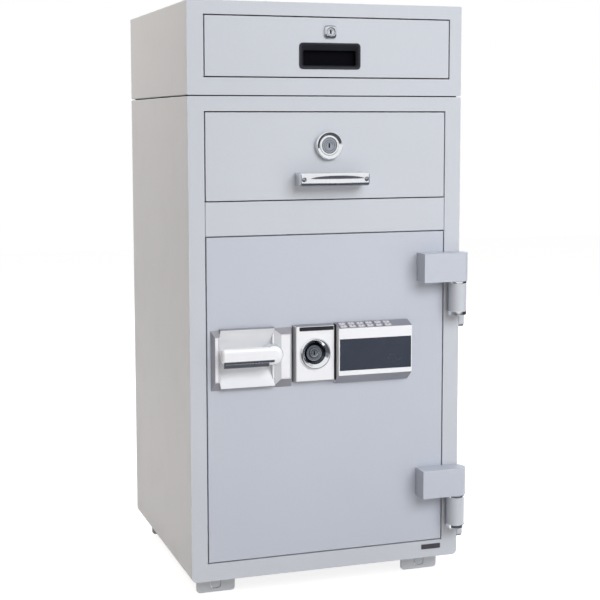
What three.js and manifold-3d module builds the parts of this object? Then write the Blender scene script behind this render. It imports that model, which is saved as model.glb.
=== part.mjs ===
// Drop safe with deposit drawer: a cash drawer in its own case stands on a fire-lined safe
// body, which holds a deposit drawer over a drop chute and a hinged door with a lever,
// a key lock and a keypad. Millimetres, +Z up, front face toward -Y.

import * as THREE from "three";
import { mergeVertices } from "three/addons/utils/BufferGeometryUtils.js";
import Module from "manifold-3d";

const wasm = await Module();
wasm.setup();

// Cabinet
const bodyWidth = 480;
const bodyDepth = 445;
const overallHeight = 990;
const footHeight = 35;
const seamGap = 2;
const leftStile = 27.3;
const rightStile = 28.7;
const frontGap = 2;
const bottomCornerRadius = 8;
const topCornerRadius = 2;

// Clearances shared by every piece
const seat = 0.3;
const slip = 0.5;
const overrun = 5;
const sheet = 2;

// Safe body, from the bottom up
const sillHeight = 29.5;
const railHeight = 55.5;
const hatchHeight = 147;
const headHeight = 24;
const backWall = 45;
const rebateStep = 14;
const firstRebateDepth = 10;
const secondRebateDepth = 44;
const railPanelGap = 1;

// Till case
const tillSill = 28;
const tillMouthHeight = 100.5;
const tillHead = 22;
const tillRightStile = 21.5;
const frameReturn = 21;
const plinthInset = 6;

// Feet: folded plates with a lanced tongue
const footWidth = 67;
const footInset = 19;
const footSetBack = 45;
const footPlate = 5;
const footFlange = 50;
const footCorner = 6;
const tongueWidth = 18;
const tongueMargin = 6;
const tongueSlot = 1.2;

// Drawer fronts and trays
const frontThickness = 18;
const tillTrayLength = 380;
const tillTrayHeight = 84;
const trayLift = 6;
const depositTrayLength = 242;
const depositSideHeight = 112;
const depositFrontHeight = 130;
const depositFloorFront = 46;
const depositFloorRear = 6;
const depositSideCut = 60;

// Slides: channel sections nested one in another
const slideThickness = 12.7;
const slideHeight = 45;
const slideWeb = 1.6;
const slideLip = 3;
const slideMouth = 2.1;
const tillSlideLength = 380;
const depositSlideLength = 240;
const depositInnerLength = 230;
const slideStart = 22;
const slideBracketHeight = 24;

// Drop chute with its toothed guard
const chuteWidth = 340;
const chuteLength = 110;
const chuteFromGuard = 12;
const guardToBack = 132;
const chuteDrop = 5;
const guardWindowInset = 26;
const guardWindowHeight = 66;
const toothDepth = 16;
const toothCount = 12;

// Door
const plateThickness = 8;
const doorStageOne = 40;
const doorStageTwo = 70;
const stageClearance = 4;
const swingClearance = 5.5;
const swingClearanceDeep = 8;
const coverInset = 12;

// Boltwork in its pocket at the free side of the door
const boltRadius = 8;
const boltDepth = 26;
const boltCount = 3;
const boltMargin = 85;
const boltRecess = 1;
const boltLength = 52;
const boltThrow = 21;
const boltSocketSpare = 3;
const boltSocketClearance = 2.5;
const boltEndBevel = 2;
const carrierWidth = 24;
const carrierThickness = 12;
const carrierMargin = 50;
const pocketFront = 17;
const pocketWidth = 78;
const pocketMargin = 45;
const lockPocketWidth = 112;
const lockPocketHeight = 96;
const crankRadius = 30;
const crankThickness = 6;
const crankWidth = 14;
const crankPinRadius = 3;
const crankSlotWidth = 9;
const crankSlotHeight = 21;
const crankLugHeight = 33;
const crankLugWidth = 15;
const keeperThickness = 6.4;
const keeperMargin = 30;

// Hinges
const hingeAxisInset = 11;
const hingeAxisFront = 17.3;
const hingeBlockRadius = 17;
const hingeBlockLength = 68.4;
const hingeBlockHeight = 49;
const upperHingeFromHead = 86.5;
const lowerHingeFromSill = 85;
const knuckleRadius = 15.2;
const knuckleHeight = 52;
const pinRadius = 6;
const pinReach = 34;
const collarThickness = 1.2;
const capThickness = 3.5;
const legThickness = 10.7;
const legLength = 45;
const legTail = 30;
const legCorner = 9;
const legJoint = 15;
const armReachShare = 0.96;
const armDropShare = 0.16;

// Lock plate on the door, measured from the left face and from the middle of the doorway
const lockPlateLeft = 34.8;
const bezelHeight = 100;
const bezelCentre = 68.25;
const bezelRim = 10;
const bezelTopSlope = 10;
const bezelBottomSlope = 15;
const leftBlockWidth = 14.5;
const leftBlockOuterSlope = 5.2;
const leftBlockInnerSlope = 2;
const rightBlockWidth = 31.2;
const rightBlockInnerSlope = 10.7;
const rightBlockOuterSlope = 3.1;
const blockLap = 1;
const saddleWidth = 93;
const saddleHeight = 99;
const saddleCentre = 71.25;
const saddleDepth = 9;
const saddleLip = 1.2;
const cupHeight = 84;
const cupWall = 2;
const leverCentre = 77.25;
const hubFromLeft = 135.6;
const hubRadius = 17.3;
const hubFront = 30;
const hubBack = 5;
const hubSink = 3;
const leverTipFromLeft = 47.5;
const leverHeight = 27;
const leverThickness = 15;
const leverCorner = 6.5;
const leverEndGap = 1;
const spindleRadius = 6;
const sidePanelSink = 1;
const sidePanelMargin = 1.2;

// Key lock block
const blockLeft = 176;
const blockWidth = 71.6;
const blockHeight = 96.6;
const blockCentre = 73.55;
const blockProud = 13;
const blockChamfer = 2.5;
const keyRingRadius = 26.5;
const keyRingProud = 3.5;
const keyRingWall = 3;
const keyDishRadius = 13.5;
const keyDishDepth = 10;
const keyBarrelRadius = 12;
const keyPlugRadius = 8.5;
const keyBarrelLength = 27;
const keyCamLength = 24;
const keySlotHeight = 8;
const keySlotWidth = 1.6;
const keySlotDepth = 4;

// Keypad housing
const padLeft = 249.6;
const padWidth = 132;
const padBottom = 19.75;
const padFaceBottom = 35.25;
const padFaceTop = 114.95;
const padTop = 122.25;
const padProud = 25;
const padEdgeProud = 5;
const padTopProud = 6;
const windowInset = 1.5;
const windowBottom = 43.25;
const windowHeight = 53.7;
const windowThickness = 1.5;
const keyColumns = 6;
const keyRows = 2;
const keyPitch = 16;
const keyRowPitch = 9;
const keyFirst = 9.5;
const keyWidth = 13.4;
const keyDepth = 6.4;
const keyProud = 1.6;
const keyRoot = 2.6;
const keyTravel = 1;
const keyCorner = 2.6;

// Till lock and recessed pull
const tillLockFromLeft = 242.4;
const tillLockFromTop = 47;
const tillHeadWidth = 21;
const tillHeadCorner = 6;
const tillHeadProud = 6;
const tillBarrelRadius = 8.5;
const tillPlugRadius = 6;
const tillDishRadius = 7;
const tillDishDepth = 1.5;
const tillBarrelLength = 24;
const tillCamLength = 31;
const camWidth = 13;
const camThickness = 3;
const headRound = 1.5;
const pullLeft = 188.6;
const pullWidth = 107.4;
const pullHeight = 43;
const pullFromMouth = 14.7;
const pullCorner = 7;
const pullFlange = 1.4;
const pullCupInset = 4;
const pullCupDepth = 15;
const pullCupStart = 0.6;
const pullFlare = 4;
const pullRim = 8;
const pullRimDepth = 5;
const pullWall = 1.6;

// Deposit lock and bar handle
const depositLockFromLeft = 239.3;
const depositLockFromTop = 56.5;
const depositRingRadius = 23.5;
const depositRingProud = 9;
const depositDishRadius = 14.5;
const depositDishDepth = 3;
const depositBarrelRadius = 13;
const depositPlugRadius = 9;
const depositBarrelLength = 24;
const depositCamLength = 66;
const camPocketDepth = 14;
const camPocketLength = 12;
const camPocketFront = 22;
const camPocketClearance = 4;
const handleLeft = 180;
const handleLength = 120.6;
const handleHeight = 22;
const handleFromHatch = 35.5;
const handleProud = 34;
const handleLeg = 11;
const handleBand = 9;
const handleBow = 3;
const handleDishLength = 92;
const handleDishHeight = 15;
const handleDishDepth = 2.4;
const handleScrewRadius = 4;
const handleScrewSink = 1.2;

// Levels and faces worked out from the sizes above
const leftFace = -bodyWidth / 2;
const rightFace = bodyWidth / 2;
const mouthLeft = leftFace + leftStile;
const mouthRight = rightFace - rightStile;
const tillMouthRight = rightFace - tillRightStile;
const tillTop = overallHeight;
const tillMouthTop = tillTop - tillHead;
const tillMouthBottom = tillMouthTop - tillMouthHeight;
const tillBottom = tillMouthBottom - tillSill;
const safeTop = tillBottom - seamGap;
const hatchTop = safeTop - headHeight;
const hatchBottom = hatchTop - hatchHeight;
const doorwayTop = hatchBottom - railHeight;
const safeBottom = footHeight;
const doorwayBottom = safeBottom + sillHeight;
const doorwayMiddle = (doorwayBottom + doorwayTop) / 2;
const innerBack = bodyDepth - backWall;
const cavityLeft = mouthLeft + 2 * rebateStep;
const cavityRight = mouthRight - 2 * rebateStep;
const cavityTop = doorwayTop - 2 * rebateStep;
const guardFront = innerBack - guardToBack;
const chuteFront = guardFront + chuteFromGuard;
const slideRoom = slideThickness + 2 * seat;
const hingeX = rightFace - hingeAxisInset;
const hingeY = -hingeAxisFront;

const roundSides = 32;
const smallSides = 20;
const cornerSteps = 4;
const keySteps = 2;
const bowSteps = 8;
const scoopSteps = 19;
const lipSteps = 3;

const paint = { color: 0xc6cbd4, roughness: 0.42, metalness: 0.1 };
const innerPaint = { color: 0xb4b8be, roughness: 0.55, metalness: 0.1 };
const chrome = { color: 0xe6e8ec, roughness: 0.12, metalness: 1 };
const satin = { color: 0xa8a6b4, roughness: 0.35, metalness: 0.8 };
const steel = { color: 0x9a9da3, roughness: 0.4, metalness: 0.9 };
const zinc = { color: 0xb7babd, roughness: 0.35, metalness: 0.9 };
const blackPlastic = { color: 0x17181a, roughness: 0.5, metalness: 0 };
const darkGlass = { color: 0x3c4354, roughness: 0.2, metalness: 0 };

// Solids

function solidOf(geometry) {
  const bare = geometry.clone();
  bare.deleteAttribute("normal");
  bare.deleteAttribute("uv");
  const merged = mergeVertices(bare);
  return new wasm.Manifold(new wasm.Mesh({
    numProp: 3,
    vertProperties: merged.attributes.position.array,
    triVerts: new Uint32Array(merged.index.array),
  }));
}

function geometryOf(solid) {
  const mesh = solid.getMesh();
  const geometry = new THREE.BufferGeometry();
  geometry.setAttribute("position", new THREE.BufferAttribute(mesh.vertProperties, 3));
  geometry.setIndex(new THREE.BufferAttribute(mesh.triVerts, 1));
  geometry.computeVertexNormals();
  return geometry;
}

const join = (...solids) => solids.reduce((whole, next) => whole.add(next));
const cut = (base, ...tools) => tools.reduce((rest, tool) => rest.subtract(tool), base);

// A box between two corners, with its front face drawn in by an inset on each side
function taperedBox(x0, x1, y0, y1, z0, z1, { left, right, bottom, top }) {
  const geometry = new THREE.BoxGeometry(1, 1, 1);
  const place = geometry.attributes.position;
  for (let i = 0; i < place.count; i += 1) {
    const front = place.getY(i) < 0;
    const inset = front ? { left, right, bottom, top } : noInset;
    place.setX(i, place.getX(i) < 0 ? x0 + inset.left : x1 - inset.right);
    place.setZ(i, place.getZ(i) < 0 ? z0 + inset.bottom : z1 - inset.top);
    place.setY(i, front ? y0 : y1);
  }
  return solidOf(geometry);
}

const evenInset = (inset) => ({ left: inset, right: inset, bottom: inset, top: inset });
const noInset = evenInset(0);
const box = (x0, x1, y0, y1, z0, z1) => taperedBox(x0, x1, y0, y1, z0, z1, noInset);

function outline(points) {
  return new THREE.Shape(points.map(([u, v]) => new THREE.Vector2(u, v)));
}

// A rectangle whose lower and upper corners have their own radii
function roundedRectangle(u0, u1, v0, v1, lower, upper) {
  const shape = new THREE.Shape();
  shape.moveTo(u0 + lower, v0);
  shape.lineTo(u1 - lower, v0);
  if (lower > 0) shape.absarc(u1 - lower, v0 + lower, lower, -Math.PI / 2, 0);
  shape.lineTo(u1, v1 - upper);
  if (upper > 0) shape.absarc(u1 - upper, v1 - upper, upper, 0, Math.PI / 2);
  shape.lineTo(u0 + upper, v1);
  if (upper > 0) shape.absarc(u0 + upper, v1 - upper, upper, Math.PI / 2, Math.PI);
  shape.lineTo(u0, v0 + lower);
  if (lower > 0) shape.absarc(u0 + lower, v0 + lower, lower, Math.PI, 1.5 * Math.PI);
  return shape;
}

function extruded(shape, length, curveSegments = cornerSteps) {
  return new THREE.ExtrudeGeometry(shape, { depth: length, bevelEnabled: false, curveSegments });
}

function alongY(shape, y0, y1) {
  const geometry = extruded(shape, y1 - y0);
  geometry.rotateX(Math.PI / 2);
  geometry.translate(0, y1, 0);
  return solidOf(geometry);
}

function alongX(shape, x0, x1) {
  const geometry = extruded(shape, x1 - x0);
  const turn = new THREE.Matrix4().makeBasis(
    new THREE.Vector3(0, 1, 0), new THREE.Vector3(0, 0, 1), new THREE.Vector3(1, 0, 0),
  );
  geometry.applyMatrix4(turn);
  geometry.translate(x0, 0, 0);
  return solidOf(geometry);
}

function alongZ(shape, z0, z1) {
  const geometry = extruded(shape, z1 - z0);
  geometry.translate(0, 0, z0);
  return solidOf(geometry);
}

function rodX(x0, x1, y, z, radius, sides = smallSides) {
  const geometry = new THREE.CylinderGeometry(radius, radius, x1 - x0, sides);
  geometry.rotateZ(Math.PI / 2);
  geometry.translate((x0 + x1) / 2, y, z);
  return solidOf(geometry);
}

function rodY(x, z, radius, y0, y1, sides = roundSides) {
  const geometry = new THREE.CylinderGeometry(radius, radius, y1 - y0, sides);
  geometry.translate(x, (y0 + y1) / 2, z);
  return solidOf(geometry);
}

function rodZ(x, y, radius, z0, z1, sides = roundSides) {
  const geometry = new THREE.CylinderGeometry(radius, radius, z1 - z0, sides);
  geometry.rotateX(Math.PI / 2);
  geometry.translate(x, y, (z0 + z1) / 2);
  return solidOf(geometry);
}

// A solid turned about an axis along Y: the profile is a list of radius and depth pairs
function turnedY(x, z, profile, sides = roundSides) {
  const points = profile.map(([radius, depth]) => new THREE.Vector2(radius, depth));
  const geometry = new THREE.LatheGeometry(points, sides);
  geometry.translate(x, 0, z);
  return solidOf(geometry);
}

// Assemblies: each group stands at its own pivot, and its meshes are drawn about that pivot

function assembly(parent, x, y, z) {
  const group = new THREE.Group();
  group.userData.pivot = new THREE.Vector3(x, y, z);
  if (parent) {
    group.position.copy(group.userData.pivot).sub(parent.userData.pivot);
    parent.add(group);
  }
  return group;
}

function piece(group, name, solid, finish) {
  const geometry = geometryOf(solid);
  const { x, y, z } = group.userData.pivot;
  geometry.translate(-x, -y, -z);
  const mesh = new THREE.Mesh(geometry, new THREE.MeshStandardMaterial(finish));
  mesh.name = name;
  group.add(mesh);
}

const safe = assembly(null, 0, 0, 0);

// Safe body: a fire-lined block with the deposit hatch, the stepped doorway and the cavity

const boltLevels = Array.from({ length: boltCount }, (_, i) => {
  const first = doorwayBottom + boltMargin;
  const last = doorwayTop - boltMargin;
  return boltCount > 1 ? first + (last - first) * (i / (boltCount - 1)) : (first + last) / 2;
});
const stageOneLeft = mouthLeft + rebateStep + swingClearance;
const boltTip = stageOneLeft + boltRecess;
const depositLockX = leftFace + depositLockFromLeft;
const depositLockZ = hatchTop - depositLockFromTop;
const camReach = Math.sqrt(depositCamLength ** 2 - depositLockFromTop ** 2) + camWidth / 2;
const jambFace = mouthLeft + rebateStep;
const keeperBack = firstRebateDepth + keeperThickness;
const keeperBottom = doorwayBottom + rebateStep + keeperMargin;
const keeperTop = doorwayTop - rebateStep - keeperMargin;

function safeBody() {
  const shell = alongY(
    roundedRectangle(leftFace, rightFace, safeBottom, safeTop, bottomCornerRadius, topCornerRadius),
    0, bodyDepth,
  );
  const hatch = box(mouthLeft, mouthRight, -overrun, innerBack, hatchBottom, hatchTop);
  const steps = [firstRebateDepth, secondRebateDepth, innerBack].map((depth, i) => box(
    mouthLeft + i * rebateStep, mouthRight - i * rebateStep, -overrun, depth,
    doorwayBottom + i * rebateStep, doorwayTop - i * rebateStep,
  ));
  const railRecess = box(
    mouthLeft, mouthRight, -overrun, sheet + seat, doorwayTop - overrun, hatchBottom + overrun,
  );
  const slot = box(
    -chuteWidth / 2, chuteWidth / 2, chuteFront, chuteFront + chuteLength,
    cavityTop - overrun, hatchBottom + overrun,
  );
  const socketHalf = boltRadius + boltSocketClearance;
  const sockets = boltLevels.map((level) => box(
    boltTip - boltThrow - boltSocketSpare, jambFace + overrun,
    boltDepth - socketHalf, boltDepth + socketHalf, level - socketHalf, level + socketHalf,
  ));
  const keeperRecess = box(
    mouthLeft, jambFace + overrun, firstRebateDepth - overrun, keeperBack + seat,
    keeperBottom - seat, keeperTop + seat,
  );
  const camPocket = box(
    depositLockX - camWidth / 2 - camPocketClearance,
    depositLockX + camReach + camPocketClearance,
    camPocketFront, camPocketFront + camPocketLength,
    hatchTop - overrun, hatchTop + camPocketDepth,
  );
  return cut(shell, hatch, ...steps, railRecess, slot, ...sockets, keeperRecess, camPocket);
}

// Steel strip let into the doorway, which holds the thrown bolts from the front
function boltKeeper() {
  return box(
    mouthLeft + seat, jambFace, firstRebateDepth, keeperBack, keeperBottom, keeperTop,
  );
}

function railPanel() {
  return box(
    mouthLeft + railPanelGap, mouthRight - railPanelGap, 0, sheet,
    doorwayTop, hatchBottom,
  );
}

piece(safe, "safe_body", safeBody(), paint);
piece(safe, "bolt_keeper", boltKeeper(), steel);
piece(safe, "rail_panel", railPanel(), paint);

// Till case: folded sheet with a front frame, return lips behind it and a recessed plinth

function tillCase() {
  const shell = alongY(
    roundedRectangle(leftFace, rightFace, tillBottom, tillTop, topCornerRadius, topCornerRadius),
    0, bodyDepth,
  );
  const hollow = box(
    leftFace + sheet, rightFace - sheet, sheet, bodyDepth - sheet,
    tillBottom + sheet, tillTop - sheet,
  );
  const mouth = box(
    mouthLeft, tillMouthRight, -overrun, sheet + overrun, tillMouthBottom, tillMouthTop,
  );
  const lips = cut(
    box(
      mouthLeft - sheet, tillMouthRight + sheet, sheet / 2, frameReturn,
      tillMouthBottom - sheet, tillMouthTop + sheet,
    ),
    box(
      mouthLeft, tillMouthRight, -overrun, frameReturn + overrun, tillMouthBottom, tillMouthTop,
    ),
  );
  const plinth = box(
    leftFace + plinthInset, rightFace - plinthInset, plinthInset, bodyDepth - plinthInset,
    safeTop + seat, tillBottom + sheet / 2,
  );
  return join(cut(shell, hollow, mouth), lips, plinth);
}

piece(safe, "till_case", tillCase(), paint);

// Feet: a folded plate, its upright toward the nearer cabinet face

function foot(centre, uprightY, inward) {
  const left = centre - footWidth / 2;
  const right = centre + footWidth / 2;
  const top = safeBottom - seat;
  const backY = uprightY + inward * footPlate;
  const flangeY = uprightY + inward * footFlange;
  const upright = alongY(
    roundedRectangle(left, right, 0, top, footCorner, 0),
    Math.min(uprightY, backY), Math.max(uprightY, backY),
  );
  const flange = box(
    left, right, Math.min(uprightY, flangeY), Math.max(uprightY, flangeY), top - footPlate, top,
  );
  const tongueLeft = centre - tongueWidth / 2;
  const tongueRight = centre + tongueWidth / 2;
  const slotFront = Math.min(uprightY, backY) - overrun;
  const slotBack = Math.max(uprightY, backY) + overrun;
  const tongueTop = top - footPlate - tongueMargin / 2;
  const outer = alongY(
    roundedRectangle(tongueLeft, tongueRight, tongueMargin, tongueTop, footCorner, 0),
    slotFront, slotBack,
  );
  const inner = alongY(
    roundedRectangle(
      tongueLeft + tongueSlot, tongueRight - tongueSlot,
      tongueMargin + tongueSlot, tongueTop + overrun, footCorner - tongueSlot, 0,
    ),
    slotFront - overrun, slotBack + overrun,
  );
  return cut(join(upright, flange), cut(outer, inner));
}

const footCentre = rightFace - footInset - footWidth / 2;
piece(safe, "front_left_foot", foot(-footCentre, footSetBack, 1), paint);
piece(safe, "front_right_foot", foot(footCentre, footSetBack, 1), paint);
piece(safe, "rear_left_foot", foot(-footCentre, bodyDepth - footSetBack, -1), paint);
piece(safe, "rear_right_foot", foot(footCentre, bodyDepth - footSetBack, -1), paint);

// Drop chute: a sleeve through the slab, a floor flange and a guard with saw teeth

function dropChute() {
  const guardBack = guardFront + sheet;
  const floor = hatchBottom + seat;
  const left = mouthLeft + seat;
  const right = mouthRight - seat;
  const windowLeft = left + guardWindowInset;
  const windowRight = right - guardWindowInset;
  const windowTop = floor + guardWindowHeight;
  const pitch = (windowRight - windowLeft) / toothCount;
  const teeth = [[windowLeft, floor], [windowRight, floor], [windowRight, windowTop]];
  for (let i = toothCount - 1; i >= 0; i -= 1) {
    teeth.push([windowLeft + i * pitch + pitch / 2, windowTop + toothDepth]);
    teeth.push([windowLeft + i * pitch, windowTop]);
  }
  const guard = cut(
    box(left, right, guardFront, guardBack, floor, hatchTop - seat),
    alongY(outline(teeth), guardFront - overrun, guardBack + overrun),
    box(windowLeft, windowRight, guardFront - overrun, guardBack + overrun, floor - overrun, windowTop),
  );
  const flange = box(left, right, guardFront, innerBack - seat, floor, floor + sheet);
  const sleeveLeft = -chuteWidth / 2 + seat;
  const sleeveRight = chuteWidth / 2 - seat;
  const sleeveFront = chuteFront + seat;
  const sleeveBack = chuteFront + chuteLength - seat;
  const sleeve = box(
    sleeveLeft, sleeveRight, sleeveFront, sleeveBack, cavityTop - chuteDrop, floor + sheet,
  );
  const bore = box(
    sleeveLeft + sheet, sleeveRight - sheet, sleeveFront + sheet, sleeveBack - sheet,
    cavityTop - chuteDrop - overrun, floor + sheet + overrun,
  );
  return cut(join(guard, flange, sleeve), bore);
}

piece(safe, "drop_chute", dropChute(), zinc);

// Slides: channel sections, drawn for the side whose wall face is given, opening by the sign

function channel(webFace, toward, length, height, start, level) {
  const webInner = webFace + Math.sign(toward) * slideWeb;
  const mouth = webFace + toward;
  const low = level - height / 2;
  const high = level + height / 2;
  const section = outline([
    [webFace, low], [mouth, low], [mouth, low + slideLip], [webInner, low + slideLip],
    [webInner, high - slideLip], [mouth, high - slideLip], [mouth, high], [webFace, high],
  ]);
  return alongY(section, start, start + length);
}

const nestedHeight = slideHeight - 2 * (slideLip + slip);
const innermostHeight = nestedHeight - 2 * (slideLip + slip);

// The wall face is where the slide is fixed; sign is +1 on the left side and -1 on the right
const outerMember = (wall, sign, length, level) => channel(
  wall + sign * seat, sign * (slideThickness - slideMouth - slideWeb - slip),
  length, slideHeight, slideStart, level,
);
const middleMember = (wall, sign, length, level) => channel(
  wall + sign * (seat + slideWeb + slip), sign * (slideThickness - slideMouth - slideWeb - slip),
  length, nestedHeight, slideStart, level,
);
const innerMember = (wall, sign, length, height, behind, level) => channel(
  wall + sign * (seat + slideThickness), -sign * (slideThickness - behind),
  length, height, slideStart, level,
);

// Bracket that carries a till slide on the side wall of the case
function slideBracket(wall, caseWall, sign, length, level) {
  const near = caseWall + sign * seat;
  const far = wall + sign * (seat + slideWeb / 2);
  return box(
    Math.min(near, far), Math.max(near, far), slideStart, slideStart + length,
    level - slideBracketHeight / 2, level + slideBracketHeight / 2,
  );
}

// Drawer fronts: folded pans, open at the back

function drawerFront(left, right, bottom, top) {
  const pan = box(
    left + frontGap, right - frontGap, 0, frontThickness, bottom + frontGap, top - frontGap,
  );
  const hollow = box(
    left + frontGap + sheet, right - frontGap - sheet, sheet, frontThickness + overrun,
    bottom + frontGap + sheet, top - frontGap - sheet,
  );
  return cut(pan, hollow);
}

// Key lock turned parts: a barrel with a dished head, and a plug with its keyway and cam

function lockBarrel(x, z, { head, proud, dish, dishDepth, barrel, plug, length }, sides) {
  const bore = plug + seat;
  const dishBack = dishDepth - proud;
  return turnedY(x, z, [
    [bore, dishBack], [dish, dishBack], [dish + dishDepth, -proud],
    [head - headRound, -proud], [head, headRound - proud], [head, -seat],
    [barrel, -seat], [barrel, length], [bore, length], [bore, dishBack],
  ], sides);
}

// The cam points to +X at rest
function lockPlug(x, z, radius, front, back, camLength) {
  const shaft = rodY(x, z, radius, front, back + camThickness, smallSides);
  const keyway = box(
    x - keySlotWidth / 2, x + keySlotWidth / 2, front - overrun, front + keySlotDepth,
    z - keySlotHeight / 2, z + keySlotHeight / 2,
  );
  const cam = alongY(
    roundedRectangle(
      x - camWidth / 2, x + camLength, z - camWidth / 2, z + camWidth / 2,
      camWidth / 2, camWidth / 2,
    ),
    back, back + camThickness,
  );
  return join(cut(shaft, keyway), cam);
}

// Till drawer

const tillTrayLeft = mouthLeft + slideRoom;
const tillTrayRight = tillMouthRight - slideRoom;
const trayFront = frontThickness + seat;
const tillTrayBottom = tillMouthBottom + trayLift;
const tillSlideLevel = tillTrayBottom + tillTrayHeight / 2;
const tillLockX = leftFace + tillLockFromLeft;
const tillLockZ = tillTop - tillLockFromTop;
const pullX0 = leftFace + pullLeft;
const pullX1 = pullX0 + pullWidth;
const pullZ0 = tillMouthBottom + pullFromMouth;
const pullZ1 = pullZ0 + pullHeight;

const tillDrawer = assembly(safe, 0, 0, tillMouthBottom);

function tillDrawerFront() {
  const cupHole = box(
    pullX0 + pullCupInset, pullX1 - pullCupInset, -overrun, sheet + overrun,
    pullZ0 + pullCupInset, pullZ1 - pullCupInset,
  );
  const lockHole = rodY(
    tillLockX, tillLockZ, tillBarrelRadius + seat, -overrun, sheet + overrun, smallSides,
  );
  return cut(drawerFront(mouthLeft, tillMouthRight, tillMouthBottom, tillMouthTop), cupHole, lockHole);
}

function tillTray() {
  const back = trayFront + tillTrayLength;
  const top = tillTrayBottom + tillTrayHeight;
  const outer = box(tillTrayLeft, tillTrayRight, trayFront, back, tillTrayBottom, top);
  const inner = box(
    tillTrayLeft + sheet, tillTrayRight - sheet, trayFront + sheet, back - sheet,
    tillTrayBottom + sheet, top + overrun,
  );
  const lockHole = rodY(
    tillLockX, tillLockZ, tillBarrelRadius + seat, trayFront - overrun,
    trayFront + sheet + overrun, smallSides,
  );
  return cut(outer, inner, lockHole);
}

function recessPull() {
  const flange = alongY(
    roundedRectangle(pullX0, pullX1, pullZ0, pullZ1, pullCorner, pullCorner), -pullFlange, -seat,
  );
  const cupLeft = pullX0 + pullCupInset + seat;
  const cupRight = pullX1 - pullCupInset - seat;
  const cupBottom = pullZ0 + pullCupInset + seat;
  const cupTop = pullZ1 - pullCupInset - seat;
  const cup = box(cupLeft, cupRight, -pullCupStart, pullCupDepth, cupBottom, cupTop);
  const flare = pullRim - pullFlare;
  const slope = taperedBox(
    pullX0 + pullRim, pullX1 - pullRim, -pullFlange - seat, pullRimDepth,
    pullZ0 + pullRim, pullZ1 - pullRim, evenInset(-flare),
  );
  const hollow = box(
    cupLeft + pullWall, cupRight - pullWall, pullRimDepth - pullWall, pullCupDepth - pullWall,
    cupBottom + pullWall, cupTop - pullWall,
  );
  return cut(join(flange, cup), slope, hollow);
}

// Cam lock with a square head, dished round its plug
function tillLockBarrel() {
  const half = tillHeadWidth / 2;
  const head = alongY(
    roundedRectangle(
      tillLockX - half, tillLockX + half, tillLockZ - half, tillLockZ + half,
      tillHeadCorner, tillHeadCorner,
    ),
    -tillHeadProud, -seat,
  );
  const barrel = rodY(
    tillLockX, tillLockZ, tillBarrelRadius, -seat - sheet, tillBarrelLength, smallSides,
  );
  const dishBack = tillDishDepth - tillHeadProud;
  const dish = turnedY(tillLockX, tillLockZ, [
    [0, dishBack - overrun], [tillDishRadius + tillDishDepth + overrun, dishBack - overrun],
    [tillDishRadius, dishBack], [0, dishBack],
  ], smallSides);
  const bore = rodY(
    tillLockX, tillLockZ, tillPlugRadius + seat, -tillHeadProud - overrun,
    tillBarrelLength + overrun, smallSides,
  );
  return cut(join(head, barrel), dish, bore);
}

piece(tillDrawer, "till_drawer_front", tillDrawerFront(), paint);
piece(tillDrawer, "till_tray", tillTray(), innerPaint);
piece(tillDrawer, "recess_pull", recessPull(), blackPlastic);
piece(tillDrawer, "till_lock_barrel", tillLockBarrel(), chrome);

const tillPlugTurn = assembly(tillDrawer, tillLockX, 0, tillLockZ);
piece(tillPlugTurn, "till_lock_plug", lockPlug(
  tillLockX, tillLockZ, tillPlugRadius, tillDishDepth - tillHeadProud,
  tillBarrelLength + seat, tillCamLength,
), chrome);

const tillSides = [
  { side: "left", sign: 1, wall: mouthLeft, caseWall: leftFace + sheet },
  { side: "right", sign: -1, wall: tillMouthRight, caseWall: rightFace - sheet },
];
for (const { side, sign, wall, caseWall } of tillSides) {
  const outer = join(
    outerMember(wall, sign, tillSlideLength, tillSlideLevel),
    slideBracket(wall, caseWall, sign, tillSlideLength, tillSlideLevel),
  );
  piece(safe, `till_slide_outer_${side}`, outer, zinc);
  const middleGroup = assembly(safe, wall, slideStart, tillSlideLevel);
  const middle = middleMember(wall, sign, tillSlideLength, tillSlideLevel);
  piece(middleGroup, `till_slide_middle_${side}`, middle, zinc);
  const inner = innerMember(
    wall, sign, tillSlideLength - sheet, innermostHeight, slideWeb + slip + slideWeb + slip,
    tillSlideLevel,
  );
  piece(tillDrawer, `till_slide_inner_${side}`, inner, zinc);
}

// Deposit drawer: its floor slopes down to an open rear, over a shelf that ends at the chute

const depositTrayLeft = mouthLeft + slideRoom;
const depositTrayRight = mouthRight - slideRoom;
const depositTrayBottom = hatchBottom + trayLift;
const depositTrayBack = trayFront + depositTrayLength;
const depositSlideLevel = depositTrayBottom + depositSideHeight / 2;
const handleX0 = leftFace + handleLeft;
const handleX1 = handleX0 + handleLength;
const handleZ = hatchBottom + handleFromHatch;

const depositDrawer = assembly(safe, 0, 0, hatchBottom);

function depositDrawerFront() {
  const lockHole = rodY(
    depositLockX, depositLockZ, depositBarrelRadius + seat, -overrun, sheet + overrun, smallSides,
  );
  return cut(drawerFront(mouthLeft, mouthRight, hatchBottom, hatchTop), lockHole);
}

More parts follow.
